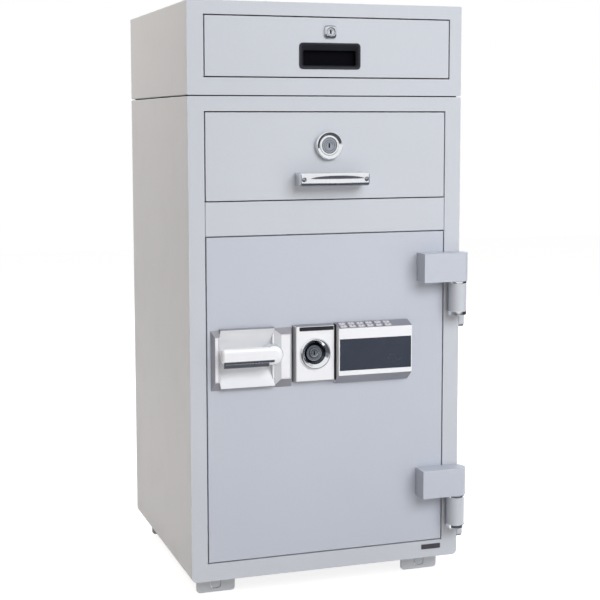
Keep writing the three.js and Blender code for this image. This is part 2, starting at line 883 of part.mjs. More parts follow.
function depositTray() {
  const sideTop = depositTrayBottom + depositSideHeight;
  const sideOutline = outline([
    [trayFront, depositTrayBottom], [depositTrayBack, depositTrayBottom],
    [depositTrayBack, sideTop - depositSideCut], [depositTrayBack - depositSideCut, sideTop],
    [trayFront, sideTop],
  ]);
  const left = alongX(sideOutline, depositTrayLeft, depositTrayLeft + sheet);
  const right = alongX(sideOutline, depositTrayRight - sheet, depositTrayRight);
  const frontWall = box(
    depositTrayLeft, depositTrayRight, trayFront, trayFront + sheet,
    depositTrayBottom, depositTrayBottom + depositFrontHeight,
  );
  const floor = alongX(outline([
    [trayFront, depositTrayBottom + depositFloorFront],
    [depositTrayBack, depositTrayBottom + depositFloorRear],
    [depositTrayBack, depositTrayBottom + depositFloorRear + sheet],
    [trayFront, depositTrayBottom + depositFloorFront + sheet],
  ]), depositTrayLeft, depositTrayRight);
  const lockHole = rodY(
    depositLockX, depositLockZ, depositBarrelRadius + seat, trayFront - overrun,
    trayFront + sheet + overrun, smallSides,
  );
  return cut(join(left, right, frontWall, floor), lockHole);
}

function drawerHandle() {
  const front = [];
  for (let i = 0; i <= bowSteps; i += 1) {
    const share = i / bowSteps;
    const x = handleX0 + handleLength * share;
    front.push([x, -handleProud - handleBow * Math.sin(Math.PI * share)]);
  }
  const plan = outline([
    ...front, [handleX1, -seat], [handleX1 - handleLeg, -seat],
    [handleX1 - handleLeg, -handleProud + handleBand],
    [handleX0 + handleLeg, -handleProud + handleBand], [handleX0 + handleLeg, -seat],
    [handleX0, -seat],
  ]);
  const bar = alongZ(plan, handleZ - handleHeight / 2, handleZ + handleHeight / 2);
  const lens = new THREE.SphereGeometry(1, roundSides, smallSides / 2);
  const middle = (handleX0 + handleX1) / 2;
  lens.scale(handleDishLength / 2, 2 * handleDishDepth, handleDishHeight / 2);
  lens.translate(middle, -handleProud - handleBow - handleDishDepth / 2, handleZ);
  const screws = [handleX0 + handleLeg / 2, handleX1 - handleLeg / 2].map((x) => rodY(
    x, handleZ, handleScrewRadius, -handleProud - overrun, -handleProud + handleScrewSink,
    smallSides,
  ));
  return cut(bar, solidOf(lens), ...screws);
}

piece(depositDrawer, "deposit_drawer_front", depositDrawerFront(), paint);
piece(depositDrawer, "deposit_tray", depositTray(), innerPaint);
piece(depositDrawer, "drawer_handle", drawerHandle(), chrome);
piece(depositDrawer, "deposit_lock_barrel", lockBarrel(depositLockX, depositLockZ, {
  head: depositRingRadius, proud: depositRingProud, dish: depositDishRadius,
  dishDepth: depositDishDepth, barrel: depositBarrelRadius, plug: depositPlugRadius,
  length: depositBarrelLength,
}, roundSides), chrome);

const depositPlugTurn = assembly(depositDrawer, depositLockX, 0, depositLockZ);
piece(depositPlugTurn, "deposit_lock_plug", lockPlug(
  depositLockX, depositLockZ, depositPlugRadius, depositDishDepth - depositRingProud,
  depositBarrelLength + seat, depositCamLength,
), chrome);

for (const { side, sign, wall } of [
  { side: "left", sign: 1, wall: mouthLeft }, { side: "right", sign: -1, wall: mouthRight },
]) {
  const outer = outerMember(wall, sign, depositSlideLength, depositSlideLevel);
  piece(safe, `deposit_slide_outer_${side}`, outer, zinc);
  const inner = innerMember(
    wall, sign, depositInnerLength, nestedHeight, slideWeb + slip, depositSlideLevel,
  );
  piece(depositDrawer, `deposit_slide_inner_${side}`, inner, zinc);
}

// Door: an outer plate, and a stepped insulated body whose rear cover closes the boltwork pocket

const door = assembly(safe, hingeX, hingeY, doorwayBottom);

const bezelX0 = leftFace + lockPlateLeft;
const bezelMiddle = doorwayMiddle + bezelCentre;
const bezelZ0 = bezelMiddle - bezelHeight / 2;
const bezelZ1 = bezelMiddle + bezelHeight / 2;
const saddleX0 = bezelX0 + leftBlockWidth;
const saddleX1 = saddleX0 + saddleWidth;
const bezelX1 = saddleX1 + rightBlockWidth;
const saddleMiddle = doorwayMiddle + saddleCentre;
const leverX = leftFace + hubFromLeft;
const leverZ = doorwayMiddle + leverCentre;
const cupZ0 = saddleMiddle - cupHeight / 2;
const cupZ1 = saddleMiddle + cupHeight / 2;
const keyX = leftFace + blockLeft + blockWidth / 2;
const keyZ = doorwayMiddle + blockCentre;
const carrierX0 = boltTip + boltLength + seat;
const carrierX1 = carrierX0 + carrierWidth;
const pocketX0 = carrierX0 - boltThrow - 2 * boltRecess;
const pocketX1 = pocketX0 + pocketWidth;
const lockPocketX1 = pocketX1 + lockPocketWidth;

function cupBlock(grow, y0, y1) {
  return box(saddleX0 - grow, saddleX1 + grow, y0, y1, cupZ0 - grow, cupZ1 + grow);
}

function doorPlate() {
  const plate = box(
    mouthLeft + frontGap, mouthRight - frontGap, 0, plateThickness,
    doorwayBottom + frontGap, doorwayTop - frontGap,
  );
  const barrelHole = rodY(
    keyX, keyZ, keyBarrelRadius + seat, -overrun, plateThickness + overrun, smallSides,
  );
  return cut(plate, cupBlock(seat, -overrun, plateThickness + overrun), barrelHole);
}

function doorCover() {
  return box(
    cavityLeft + swingClearanceDeep + coverInset, cavityRight - stageClearance - coverInset,
    doorStageTwo, doorStageTwo + sheet,
    doorwayBottom + 2 * rebateStep + stageClearance + coverInset,
    cavityTop - stageClearance - coverInset,
  );
}

function doorBody() {
  const front = plateThickness + seat;
  const stageOne = box(
    stageOneLeft, mouthRight - rebateStep - stageClearance, front, doorStageOne,
    doorwayBottom + rebateStep + stageClearance, doorwayTop - rebateStep - stageClearance,
  );
  const stageTwo = box(
    cavityLeft + swingClearanceDeep, cavityRight - stageClearance, front, doorStageTwo,
    doorwayBottom + 2 * rebateStep + stageClearance, cavityTop - stageClearance,
  );
  const pocket = box(
    pocketX0, pocketX1, pocketFront, doorStageTwo + overrun,
    doorwayBottom + pocketMargin, doorwayTop - pocketMargin,
  );
  const lockPocket = box(
    pocketX0, lockPocketX1, pocketFront, doorStageTwo + overrun,
    keyZ - lockPocketHeight / 2, keyZ + lockPocketHeight / 2,
  );
  const boltHoles = boltLevels.map((level) => rodX(
    stageOneLeft - overrun, pocketX0 + overrun, boltDepth, level, boltRadius + slip,
  ));
  const cupPocket = cupBlock(seat, 0, saddleDepth + cupWall + seat);
  const barrelHole = rodY(
    keyX, keyZ, keyBarrelRadius + seat, 0, pocketFront + overrun, smallSides,
  );
  const spindleHole = rodY(
    leverX, leverZ, spindleRadius + slip, 0, pocketFront + overrun, smallSides,
  );
  const open = cut(
    join(stageOne, stageTwo), pocket, lockPocket, ...boltHoles, cupPocket, barrelHole, spindleHole,
  );
  return join(open, doorCover());
}

piece(door, "door_plate", doorPlate(), paint);
piece(door, "door_body", doorBody(), innerPaint);

// Hinges: a block on the door over a knuckle on the side of the body, on a pin with a cap

function hingeBlock(bottom) {
  const plan = new THREE.Shape();
  plan.moveTo(hingeX - hingeBlockLength, -seat);
  plan.lineTo(hingeX - hingeBlockLength, hingeY - hingeBlockRadius);
  plan.lineTo(hingeX, hingeY - hingeBlockRadius);
  plan.absarc(hingeX, hingeY, hingeBlockRadius, -Math.PI / 2, Math.PI / 2);
  plan.lineTo(hingeX - hingeBlockLength, -seat);
  const geometry = new THREE.ExtrudeGeometry(plan, {
    depth: hingeBlockHeight, bevelEnabled: false, curveSegments: 2 * cornerSteps,
  });
  geometry.translate(0, 0, bottom);
  const socket = rodZ(
    hingeX, hingeY, pinRadius + seat, bottom - overrun, bottom + pinReach + seat, smallSides,
  );
  return cut(solidOf(geometry), socket);
}

function hingeKnuckle(blockBottom) {
  const top = blockBottom - 2 * seat - collarThickness;
  const bottom = top - knuckleHeight;
  const barrel = rodZ(hingeX, hingeY, knuckleRadius, bottom, top);
  const wall = rightFace + seat;
  const outer = wall + legThickness;
  const arm = alongZ(outline([
    [hingeX, hingeY],
    [hingeX + knuckleRadius * armReachShare, hingeY - knuckleRadius * armDropShare],
    [outer, 0], [outer, legJoint], [wall, legJoint], [wall, -sheet],
    [hingeX, hingeY + knuckleRadius * armReachShare],
  ]), bottom, top);
  const leg = alongX(
    roundedRectangle(0, legLength, bottom - legTail, top, legCorner, 0), wall, outer,
  );
  const bore = rodZ(
    hingeX, hingeY, pinRadius + seat, bottom - overrun, top + overrun, smallSides,
  );
  return cut(join(barrel, arm, leg), bore);
}

function hingePin(blockBottom) {
  const top = blockBottom - 2 * seat - collarThickness;
  const bottom = top - knuckleHeight;
  const shaft = rodZ(
    hingeX, hingeY, pinRadius, bottom - seat - capThickness / 2, blockBottom + pinReach, smallSides,
  );
  const collar = rodZ(
    hingeX, hingeY, knuckleRadius - slip, top + seat, top + seat + collarThickness,
  );
  const cap = rodZ(hingeX, hingeY, knuckleRadius - slip, bottom - seat - capThickness, bottom - seat);
  return join(shaft, collar, cap);
}

const hingeLevels = {
  upper: doorwayTop - upperHingeFromHead,
  lower: doorwayBottom + lowerHingeFromSill,
};
for (const [place, level] of Object.entries(hingeLevels)) {
  piece(door, `hinge_block_${place}`, hingeBlock(level), paint);
  piece(safe, `hinge_knuckle_${place}`, hingeKnuckle(level), paint);
  piece(safe, `hinge_pin_${place}`, hingePin(level), steel);
}

// Boltwork: three bolts on a carrier, pushed by the crank on the lever's spindle

const boltwork = assembly(door, boltTip, boltDepth, leverZ);

function lockBolt(level) {
  const shaft = rodX(boltTip + boltEndBevel, boltTip + boltLength, boltDepth, level, boltRadius);
  const tip = new THREE.CylinderGeometry(
    boltRadius, boltRadius - boltEndBevel, boltEndBevel, smallSides,
  );
  tip.rotateZ(-Math.PI / 2);
  tip.translate(boltTip + boltEndBevel / 2, boltDepth, level);
  return join(shaft, solidOf(tip));
}

function boltCarrier() {
  const front = boltDepth - carrierThickness / 2;
  const back = boltDepth + carrierThickness / 2;
  const bar = box(
    carrierX0, carrierX1, front, back, doorwayBottom + carrierMargin, doorwayTop - carrierMargin,
  );
  const pinZ = leverZ - crankRadius;
  const slotTop = pinZ + crankSlotHeight - crankSlotWidth / 2;
  const slotBottom = pinZ - crankSlotWidth / 2;
  const wall = (crankLugHeight - crankSlotHeight) / 2;
  const lug = box(
    carrierX1 - sheet, leverX + crankLugWidth, front, back, slotBottom - wall, slotTop + wall,
  );
  const slot = alongY(
    roundedRectangle(
      leverX - crankSlotWidth / 2, leverX + crankSlotWidth / 2, slotBottom, slotTop,
      crankSlotWidth / 2, crankSlotWidth / 2,
    ),
    front - overrun, back + overrun,
  );
  return cut(join(bar, lug), slot);
}

boltLevels.forEach((level, i) => piece(boltwork, `lock_bolt_${i + 1}`, lockBolt(level), chrome));
piece(boltwork, "bolt_carrier", boltCarrier(), steel);

// Lever bezel: two bevelled blocks with a scooped saddle and its cup between them

const leftBlockInset = {
  left: leftBlockOuterSlope, right: leftBlockInnerSlope + blockLap,
  bottom: bezelBottomSlope, top: bezelTopSlope,
};
const rightBlockInset = {
  left: rightBlockInnerSlope + blockLap, right: rightBlockOuterSlope,
  bottom: bezelBottomSlope, top: bezelTopSlope,
};

function leverBezel() {
  const back = -seat;
  const faceZ0 = bezelZ0 + bezelBottomSlope;
  const faceZ1 = bezelZ1 - bezelTopSlope;
  const blocks = [
    [bezelX0, saddleX0 + blockLap, leftBlockInset], [saddleX1 - blockLap, bezelX1, rightBlockInset],
  ];
  const solids = blocks.map(([x0, x1, inset]) => taperedBox(
    x0, x1, -bezelRim, back, bezelZ0, bezelZ1, inset,
  ));
  const panels = blocks.map(([x0, x1, inset]) => box(
    x0 + inset.left + sidePanelMargin, x1 - inset.right - sidePanelMargin,
    -bezelRim - overrun, -bezelRim + sidePanelSink,
    faceZ0 + sidePanelMargin, faceZ1 - sidePanelMargin,
  ));
  const half = saddleHeight / 2;
  const scoopHalf = half - saddleLip;
  const depth = saddleDepth + bezelRim;
  const scoopRadius = (scoopHalf ** 2 + depth ** 2) / (2 * depth);
  const scoopAxis = saddleDepth - scoopRadius;
  const plateFront = back - sheet;
  const cupHalf = Math.sqrt(scoopRadius ** 2 - (plateFront - scoopAxis) ** 2);
  const arc = (from, to, steps) => Array.from({ length: steps + 1 }, (_, i) => {
    const rise = from + (to - from) * (i / steps);
    return [scoopAxis + Math.sqrt(scoopRadius ** 2 - rise ** 2), saddleMiddle + rise];
  });
  const frontOf = -bezelRim - overrun;
  const lips = outline([
    [frontOf, saddleMiddle - scoopHalf], ...arc(-scoopHalf, -cupHalf, lipSteps),
    ...arc(cupHalf, scoopHalf, lipSteps), [frontOf, saddleMiddle + scoopHalf],
  ]);
  const hollow = outline([
    [frontOf, saddleMiddle - cupHalf], ...arc(-cupHalf, cupHalf, scoopSteps),
    [frontOf, saddleMiddle + cupHalf],
  ]);
  const saddle = cut(
    box(saddleX0, saddleX1, -bezelRim, back, saddleMiddle - half, saddleMiddle + half),
    alongX(lips, saddleX0 - overrun, saddleX1 + overrun),
  );
  const cup = cupBlock(0, plateFront, saddleDepth + cupWall);
  const plate = box(
    bezelX0 + leftBlockOuterSlope, bezelX1 - rightBlockOuterSlope, plateFront, back, faceZ0, faceZ1,
  );
  const scoop = alongX(hollow, saddleX0 + cupWall, saddleX1 - cupWall);
  const hubWell = rodY(leverX, leverZ, hubRadius + slip, -hubFront, -hubBack + slip);
  const spindleHole = rodY(
    leverX, leverZ, spindleRadius + slip, -bezelRim, saddleDepth + overrun, smallSides,
  );
  return cut(join(...solids, saddle, cup, plate), scoop, hubWell, spindleHole, ...panels);
}

piece(door, "lever_bezel", leverBezel(), satin);

// Lever: a rounded bar on a round hub, with its spindle, crank and crank pin

const lever = assembly(door, leverX, 0, leverZ);

function leverHandle() {
  const tip = leftFace + leverTipFromLeft;
  const barFront = -hubFront;
  const section = roundedRectangle(
    barFront, barFront + leverThickness, leverZ - leverHeight / 2, leverZ + leverHeight / 2,
    leverCorner, leverCorner,
  );
  const bar = alongX(section, tip, leverX);
  const endRadius = leverHeight / 2;
  const endX = leverX + hubRadius - leverEndGap - endRadius;
  const barEnd = join(
    rodY(endX, leverZ, endRadius, barFront, barFront + leverThickness),
    box(
      leverX - sheet, endX, barFront, barFront + leverThickness,
      leverZ - endRadius, leverZ + endRadius,
    ),
  );
  const hub = rodY(leverX, leverZ, hubRadius, barFront + hubSink, -hubBack);
  const crankFront = boltDepth + carrierThickness / 2 + crankThickness / 2;
  const crankBack = crankFront + crankThickness;
  const spindle = rodY(leverX, leverZ, spindleRadius, -hubBack - sheet, crankBack, smallSides);
  const crank = alongY(
    roundedRectangle(
      leverX - crankWidth / 2, leverX + crankWidth / 2,
      leverZ - crankRadius - crankWidth / 2, leverZ + crankWidth / 2,
      crankWidth / 2, crankWidth / 2,
    ),
    crankFront, crankBack,
  );
  const pin = rodY(
    leverX, leverZ - crankRadius, crankPinRadius, boltDepth - carrierThickness / 2,
    crankFront + sheet, smallSides,
  );
  return join(bar, barEnd, hub, spindle, crank, pin);
}

piece(lever, "lever_handle", leverHandle(), chrome);

// Key lock: a polished block, a dished ring with its barrel, and the plug with a cam

function lockBlock() {
  const x0 = leftFace + blockLeft;
  const block = taperedBox(
    x0, x0 + blockWidth, -blockProud - seat, -seat,
    keyZ - blockHeight / 2, keyZ + blockHeight / 2, evenInset(blockChamfer),
  );
  const dishRoom = rodY(
    keyX, keyZ, keyRingRadius - keyRingWall + seat, -blockProud - overrun,
    keyDishDepth + sheet - keyRingProud - blockProud,
  );
  const barrelHole = rodY(keyX, keyZ, keyBarrelRadius + seat, -blockProud - overrun, overrun);
  return cut(block, dishRoom, barrelHole);
}

function keyBarrel() {
  const face = -blockProud - 2 * seat;
  const front = face - keyRingProud;
  const dishBack = front + keyDishDepth;
  const ringInner = keyRingRadius - keyRingWall;
  const bore = keyPlugRadius + seat;
  return turnedY(keyX, keyZ, [
    [bore, dishBack], [keyDishRadius, dishBack], [ringInner, front],
    [keyRingRadius - keyRingWall / 2, front], [keyRingRadius, front + keyRingWall / 2],
    [keyRingRadius, face], [ringInner, face], [ringInner, dishBack + sheet / 2],
    [keyBarrelRadius, dishBack + sheet], [keyBarrelRadius, keyBarrelLength],
    [bore, keyBarrelLength], [bore, dishBack],
  ]);
}

piece(door, "lock_block", lockBlock(), chrome);
piece(door, "key_barrel", keyBarrel(), chrome);

const keyTurn = assembly(door, keyX, 0, keyZ);
piece(keyTurn, "key_plug", lockPlug(
  keyX, keyZ, keyPlugRadius, keyDishDepth - keyRingProud - blockProud - sheet,
  keyBarrelLength + seat, keyCamLength,
), chrome);

// Keypad: a housing whose sloping top edge carries two rows of keys over a dark window

const padX0 = leftFace + padLeft;
const padX1 = padX0 + padWidth;
const padSlopeStart = new THREE.Vector2(-padProud, doorwayMiddle + padFaceTop);
const padSlopeEnd = new THREE.Vector2(-padTopProud, doorwayMiddle + padTop);
const padSlope = padSlopeEnd.clone().sub(padSlopeStart);
const slopeAngle = Math.atan2(padSlope.y, padSlope.x);

const keyPlaces = [];
for (let row = 0; row < keyRows; row += 1) {
  for (let column = 0; column < keyColumns; column += 1) {
    const up = padSlope.length() / 2 + ((keyRows - 1) / 2 - row) * keyRowPitch;
    keyPlaces.push(new THREE.Vector3(
      padX0 + keyFirst + column * keyPitch,
      padSlopeStart.x + up * Math.cos(slopeAngle),
      padSlopeStart.y + up * Math.sin(slopeAngle),
    ));
  }
}

// A rounded key or its well, standing square to the slope from one height to another
function keyBlock(grow, low, high) {
  const shape = roundedRectangle(
    -keyWidth / 2 - grow, keyWidth / 2 + grow, -keyDepth / 2 - grow, keyDepth / 2 + grow,
    keyCorner, keyCorner,
  );
  const geometry = extruded(shape, high - low, keySteps);
  geometry.translate(0, 0, low);
  geometry.rotateX(slopeAngle);
  return geometry;
}

function keypadHousing() {
  const level = (value) => doorwayMiddle + value;
  const section = outline([
    [-seat, level(padBottom)], [-padEdgeProud, level(padBottom)],
    [-padProud, level(padFaceBottom)], [-padProud, level(padFaceTop)],
    [-padTopProud, level(padTop)], [-seat, level(padTop)],
  ]);
  const body = alongX(section, padX0, padX1);
  const windowSeat = box(
    padX0 + windowInset, padX1 - windowInset, -padProud - overrun, -padProud + windowThickness,
    level(windowBottom), level(windowBottom) + windowHeight,
  );
  const wells = keyPlaces.map((place) => {
    const well = keyBlock(seat, -keyRoot - keyTravel - seat, keyProud);
    well.translate(place.x, place.y, place.z);
    return solidOf(well);
  });
  return cut(body, windowSeat, ...wells);
}

function keypadWindow() {
  const bottom = doorwayMiddle + windowBottom;
  return box(
    padX0 + windowInset + seat, padX1 - windowInset - seat,
    -padProud + seat, -padProud + windowThickness - seat,
    bottom + seat, bottom + windowHeight - seat,
  );
}

piece(door, "keypad_housing", keypadHousing(), satin);
piece(door, "keypad_window", keypadWindow(), darkGlass);

keyPlaces.forEach((place, i) => {
  const group = assembly(door, place.x, place.y, place.z);
  const key = keyBlock(0, -keyRoot, keyProud);
  key.translate(place.x, place.y, place.z);
  piece(group, `keypad_key_${String(i + 1).padStart(2, "0")}`, solidOf(key), satin);
});

// The origin is under the middle of the whole object, on the floor
safe.updateMatrixWorld(true);
const bounds = new THREE.Box3().setFromObject(safe);
const middle = bounds.getCenter(new THREE.Vector3());
safe.position.set(-middle.x, -middle.y, -bounds.min.z);
safe.updateMatrixWorld(true);

export default safe;
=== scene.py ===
"""Drop safe with deposit drawer: finishes, eased edges and fine fittings round the CAD frame.

Lengths in the piece functions are millimetres, measured from the cabinet's left face, from its
front face (+Y back) and from the floor. placed() takes them to metres in the CAD's own frame.
"""

import math

import bmesh
import bpy
from mathutils import Matrix, Vector


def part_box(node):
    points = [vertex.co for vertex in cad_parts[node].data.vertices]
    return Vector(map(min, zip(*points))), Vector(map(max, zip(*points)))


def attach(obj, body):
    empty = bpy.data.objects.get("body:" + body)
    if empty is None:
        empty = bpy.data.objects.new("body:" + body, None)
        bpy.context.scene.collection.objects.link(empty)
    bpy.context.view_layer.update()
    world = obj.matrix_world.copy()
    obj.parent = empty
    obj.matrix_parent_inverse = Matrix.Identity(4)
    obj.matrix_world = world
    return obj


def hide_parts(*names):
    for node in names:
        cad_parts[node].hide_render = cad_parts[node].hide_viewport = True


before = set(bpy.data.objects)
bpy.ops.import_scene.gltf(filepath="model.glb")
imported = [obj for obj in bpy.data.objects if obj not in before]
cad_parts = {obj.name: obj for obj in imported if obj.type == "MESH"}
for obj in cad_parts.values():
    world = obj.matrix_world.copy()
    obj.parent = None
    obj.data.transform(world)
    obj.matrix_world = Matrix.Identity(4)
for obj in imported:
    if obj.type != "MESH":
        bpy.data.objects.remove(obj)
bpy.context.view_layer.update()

MM = 0.001
WELD = 1e-5  # metres: corners of CAD faces that lie nearer than this are joined
AXIS_WELD = 1e-4  # millimetres: points that a turned piece has on its axis are joined
FLAT = math.radians(1)  # faces that differ by less become one
SHARP = math.radians(28)  # edges sharper than this are eased
SMOOTH = math.radians(40)  # edges sharper than this stay sharp in the shading
CORNER_REACH = 0.48  # the most of a side that a rounded corner takes
ROUND_STEPS = 96
SMALL_STEPS = 48
TO_FRONT, TO_LEFT = -0.9, -0.3  # a face looks there when its normal's y or x is below this

SAFE_BOTTOM = 35  # the underside of the safe body, over its feet
CASE_SEAM = 839.4  # the top of the painted shade line under the till case
HINGE = (469, -17.3)  # where the hinge axis stands: across and in depth
KNUCKLES = (("upper", 470.7), ("lower", 95.7))  # and the levels of their undersides
TILL_LOCK = (242.4, 943)  # locks and lever: the axis across and in height
DEPOSIT_LOCK = (239.3, 757)
KEY_LOCK = (211.8, 411.3)
LEVER = (135.6, 415)

KEY_DIGITS = "1234567890*#"
KEY_RIGHT = Vector((1, 0, 0))
KEY_UP = Vector((0, 19, 7.3)).normalized()
KEY_OUT = Vector((0, -7.3, 19)).normalized()

body_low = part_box("safe_body")[0]
PLACE = Matrix.Translation((body_low.x, body_low.y, 0)) @ Matrix.Scale(MM, 4)


# Shader sockets that take part in Python sums


class Wire:
    """An output socket of a finish, or a sum of such sockets."""

    def __init__(self, finish, socket):
        self.finish, self.socket = finish, socket

    def sum(self, operation, first, second):
        settings = {"operation": operation}
        return self.finish.node("ShaderNodeMath", settings, {0: first, 1: second})

    def __add__(self, other):
        return self.sum("ADD", self, other)

    def __radd__(self, other):
        return self.sum("ADD", other, self)

    def __sub__(self, other):
        return self.sum("SUBTRACT", self, other)

    def __rsub__(self, other):
        return self.sum("SUBTRACT", other, self)

    def __mul__(self, other):
        return self.sum("MULTIPLY", self, other)

    def __rmul__(self, other):
        return self.sum("MULTIPLY", other, self)


class Finish:
    """A material of this name with its nodes, or the nodes of a tree that is there already."""

    def __init__(self, name, tree=None):
        if tree is None:
            self.material = bpy.data.materials.new(name)
            self.material.use_nodes = True
            tree = self.material.node_tree
            self.shader = tree.nodes["Principled BSDF"]
        self.tree = tree

    def node(self, kind, settings=(), inputs=(), output=0):
        made = self.tree.nodes.new(kind)
        for key, value in dict(settings).items():
            setattr(made, key, value)
        for key, value in dict(inputs).items():
            self.feed(made.inputs[key], value)
        return Wire(self, made.outputs[output])

    def feed(self, socket, value):
        if isinstance(value, Wire):
            self.tree.links.new(value.socket, socket)
        else:
            socket.default_value = value

    def set(self, **values):
        for key, value in values.items():
            self.feed(self.shader.inputs[key.replace("_", " ")], value)

    def spot(self, stretch=None):
        """The place on the piece, in metres, which stays with it when its body moves."""
        place = self.node("ShaderNodeTexCoord", output="Object")
        if stretch is None:
            return place
        settings = {"operation": "MULTIPLY"}
        return self.node("ShaderNodeVectorMath", settings, {0: place, 1: stretch})

    def noise(self, scale, detail=2.0, roughness=0.5, stretch=None):
        inputs = {
            "Vector": self.spot(stretch), "Scale": scale,
            "Detail": detail, "Roughness": roughness,
        }
        return self.node("ShaderNodeTexNoise", {}, inputs)

    def cells(self, scale, output="Distance"):
        inputs = {"Vector": self.spot(), "Scale": scale}
        return self.node("ShaderNodeTexVoronoi", {}, inputs, output)

    def edge(self):
        """1 on the crest of an eased edge, 0 on the faces beside it."""
        settings = {"attribute_name": "edge"}
        return self.node("ShaderNodeAttribute", settings, output="Fac")

    def between(self, value, low, high, to_low=0.0, to_high=1.0):
        inputs = {0: value, 1: low, 2: high, 3: to_low, 4: to_high}
        return self.node("ShaderNodeMapRange", {"clamp": True}, inputs)

    def blend(self, factor, first, second):
        settings = {"data_type": "RGBA", "blend_type": "MIX"}
        return self.node("ShaderNodeMix", settings, {0: factor, 6: first, 7: second}, 2)

    def bump(self, height, distance):
        inputs = {"Height": height, "Distance": distance, "Strength": 1.0}
        return self.node("ShaderNodeBump", {}, inputs, "Normal")

    def background_rays(self):
        """1 for rays from the camera, off polished metal and through glass, else 0."""
        direct, mirrored, through = (
            self.node("ShaderNodeLightPath", output=ray)
            for ray in ("Is Camera Ray", "Is Glossy Ray", "Is Transmission Ray")
        )
        return direct + mirrored + through


def colour(red, green, blue):
    """A colour as seen on screen, 0 to 255, in the linear values that shaders take."""
    shares = [value / 255 for value in (red, green, blue)]
    return (*[
        share / 12.92 if share <= 0.04045 else ((share + 0.055) / 1.055) ** 2.4
        for share in shares
    ], 1.0)


# Finishes. The scale of a noise counts its waves in a metre, and heights are in metres.


def enamel(name, tone, shade, gloss=0.36, peel=0.00003):
    """Baked enamel: a faint orange peel, cloudy tone, handling marks, and edges made lighter,
    partly as thinner paint and partly as a painted highlight.
    """
    made = Finish(name)
    clouds = made.noise(2.2, 3.0)
    grain = made.noise(1400, 2.0)
    marks = made.between(made.noise(16, 4.0, 0.6), 0.5, 0.75)
    ridge = made.edge() * made.between(made.noise(60, 3.0, 0.65), 0.42, 0.62)
    base = made.blend(made.between(clouds, 0.35, 0.65), tone, shade)
    speck = made.blend(made.between(grain, 0.35, 0.7, 0.0, 0.07), base, colour(120, 122, 130))
    # Lighter on the crests of eased edges: thinner paint, and a painted highlight too.
    worn_and_highlit = made.blend(ridge * 0.35, speck, colour(226, 229, 234))
    height = made.noise(420, 2.0, 0.45) + made.noise(1500, 1.0) * 0.25
    made.set(
        Base_Color=worn_and_highlit, Roughness=gloss + marks * 0.07 + grain * 0.04,
        Normal=made.bump(height, peel),
    )
    made.shader.inputs["Specular IOR Level"].default_value = 0.45
    return made.material


def bright_metal(name, tone, rough, smear, lines, metal=1.0):
    """Plated metal: finger smears, hairlines along the polish and a dulled crest on edges."""
    made = Finish(name)
    smears = made.between(made.noise(38, 4.0, 0.6), 0.42, 0.72)
    hairs = made.noise(700, 2.0, 0.6, lines)
    base = made.blend(smears * (smear * 3), tone, colour(186, 190, 197))
    made.set(
        Base_Color=base, Roughness=rough + smears * smear + made.edge() * 0.05,
        Normal=made.bump(hairs, 0.000004),
    )
    made.shader.inputs["Metallic"].default_value = metal
    return made.material


def satin_metal(name, tone, rough, sheen):
    """Bead-blasted die casting with a faint sparkle and rubbed edges."""
    made = Finish(name)
    blast = made.noise(2600, 2.0, 0.6)
    clouds = made.noise(30, 3.0)
    ridge = made.edge() * made.between(made.noise(90, 3.0), 0.4, 0.65)
    base = made.blend(made.between(clouds, 0.35, 0.7, 0.0, 0.4), tone, sheen)
    rubbed = made.blend(ridge * 0.6, base, colour(224, 222, 230))
    made.set(
        Base_Color=rubbed, Roughness=rough + blast * 0.1 - ridge * 0.12,
        Normal=made.bump(blast, 0.00002),
    )
    made.shader.inputs["Metallic"].default_value = 0.75
    return made.material


def zinc_plate(name):
    """Zinc plated sheet: crystal spangle with a dull bloom."""
    made = Finish(name)
    crystal = made.node("ShaderNodeSeparateColor", {}, {0: made.cells(160, "Color")})
    bloom = made.between(made.noise(24, 4.0, 0.6), 0.4, 0.7)
    base = made.blend(crystal, colour(172, 176, 181), colour(196, 199, 203))
    dulled = made.blend(bloom * 0.5, base, colour(160, 165, 171))
    made.set(
        Base_Color=dulled, Roughness=0.3 + crystal * 0.12 + bloom * 0.1,
        Normal=made.bump(made.noise(900, 2.0), 0.00001),
    )
    made.shader.inputs["Metallic"].default_value = 0.9
    return made.material


def turned_steel(name, tone):
    """Turned and brushed steel with fine tool marks and an oily tint."""
    made = Finish(name)
    marks = made.noise(1200, 3.0, 0.6, (0.15, 0.15, 1.0))
    oil = made.between(made.noise(45, 3.0), 0.4, 0.7)
    base = made.blend(oil * 0.4, tone, colour(128, 126, 124))
    made.set(
        Base_Color=base, Roughness=0.26 + marks * 0.14 + oil * 0.06,
        Normal=made.bump(marks, 0.00001),
    )
    made.shader.inputs["Metallic"].default_value = 0.95
    return made.material


def moulded_plastic(name, tone, rubbed, rough, grain, depth, shine=0.5):
    """Moulded plastic with its spark-eroded grain and rubbed corners."""
    made = Finish(name)
    texture = made.cells(grain)
    dust = made.between(made.noise(55, 4.0, 0.6), 0.5, 0.8)
    ridge = made.edge() * 0.6
    base = made.blend(dust * 0.2 + ridge * 0.5, tone, rubbed)
    made.set(
        Base_Color=base, Roughness=rough + dust * 0.12 - ridge * 0.08,
        Normal=made.bump(texture, depth),
    )
    made.shader.inputs["Specular IOR Level"].default_value = shine
    return made.material


def smoked_window(name):
    """Smoked window: a clear hard coat over dark plastic, with dust and rub marks."""
    made = Finish(name)
    dust = made.between(made.noise(900, 3.0, 0.7), 0.62, 0.8)
    haze = made.noise(14, 3.0)
    base = made.blend(made.between(haze, 0.35, 0.65), colour(50, 56, 69), colour(54, 61, 74))
    dusted = made.blend(dust * 0.12, base, colour(150, 155, 165))
    made.set(
        Base_Color=dusted, Roughness=0.24 + dust * 0.2 + haze * 0.06,
        Normal=made.bump(made.noise(60, 2.0), 0.00002),
    )
    made.shader.inputs["Coat Weight"].default_value = 0.3
    made.shader.inputs["Coat Roughness"].default_value = 0.08
    return made.material


HAIRLINES = (0.1, 1.0, 1.0)  # stretched along X
NO_LINES = (1.0, 1.0, 1.0)

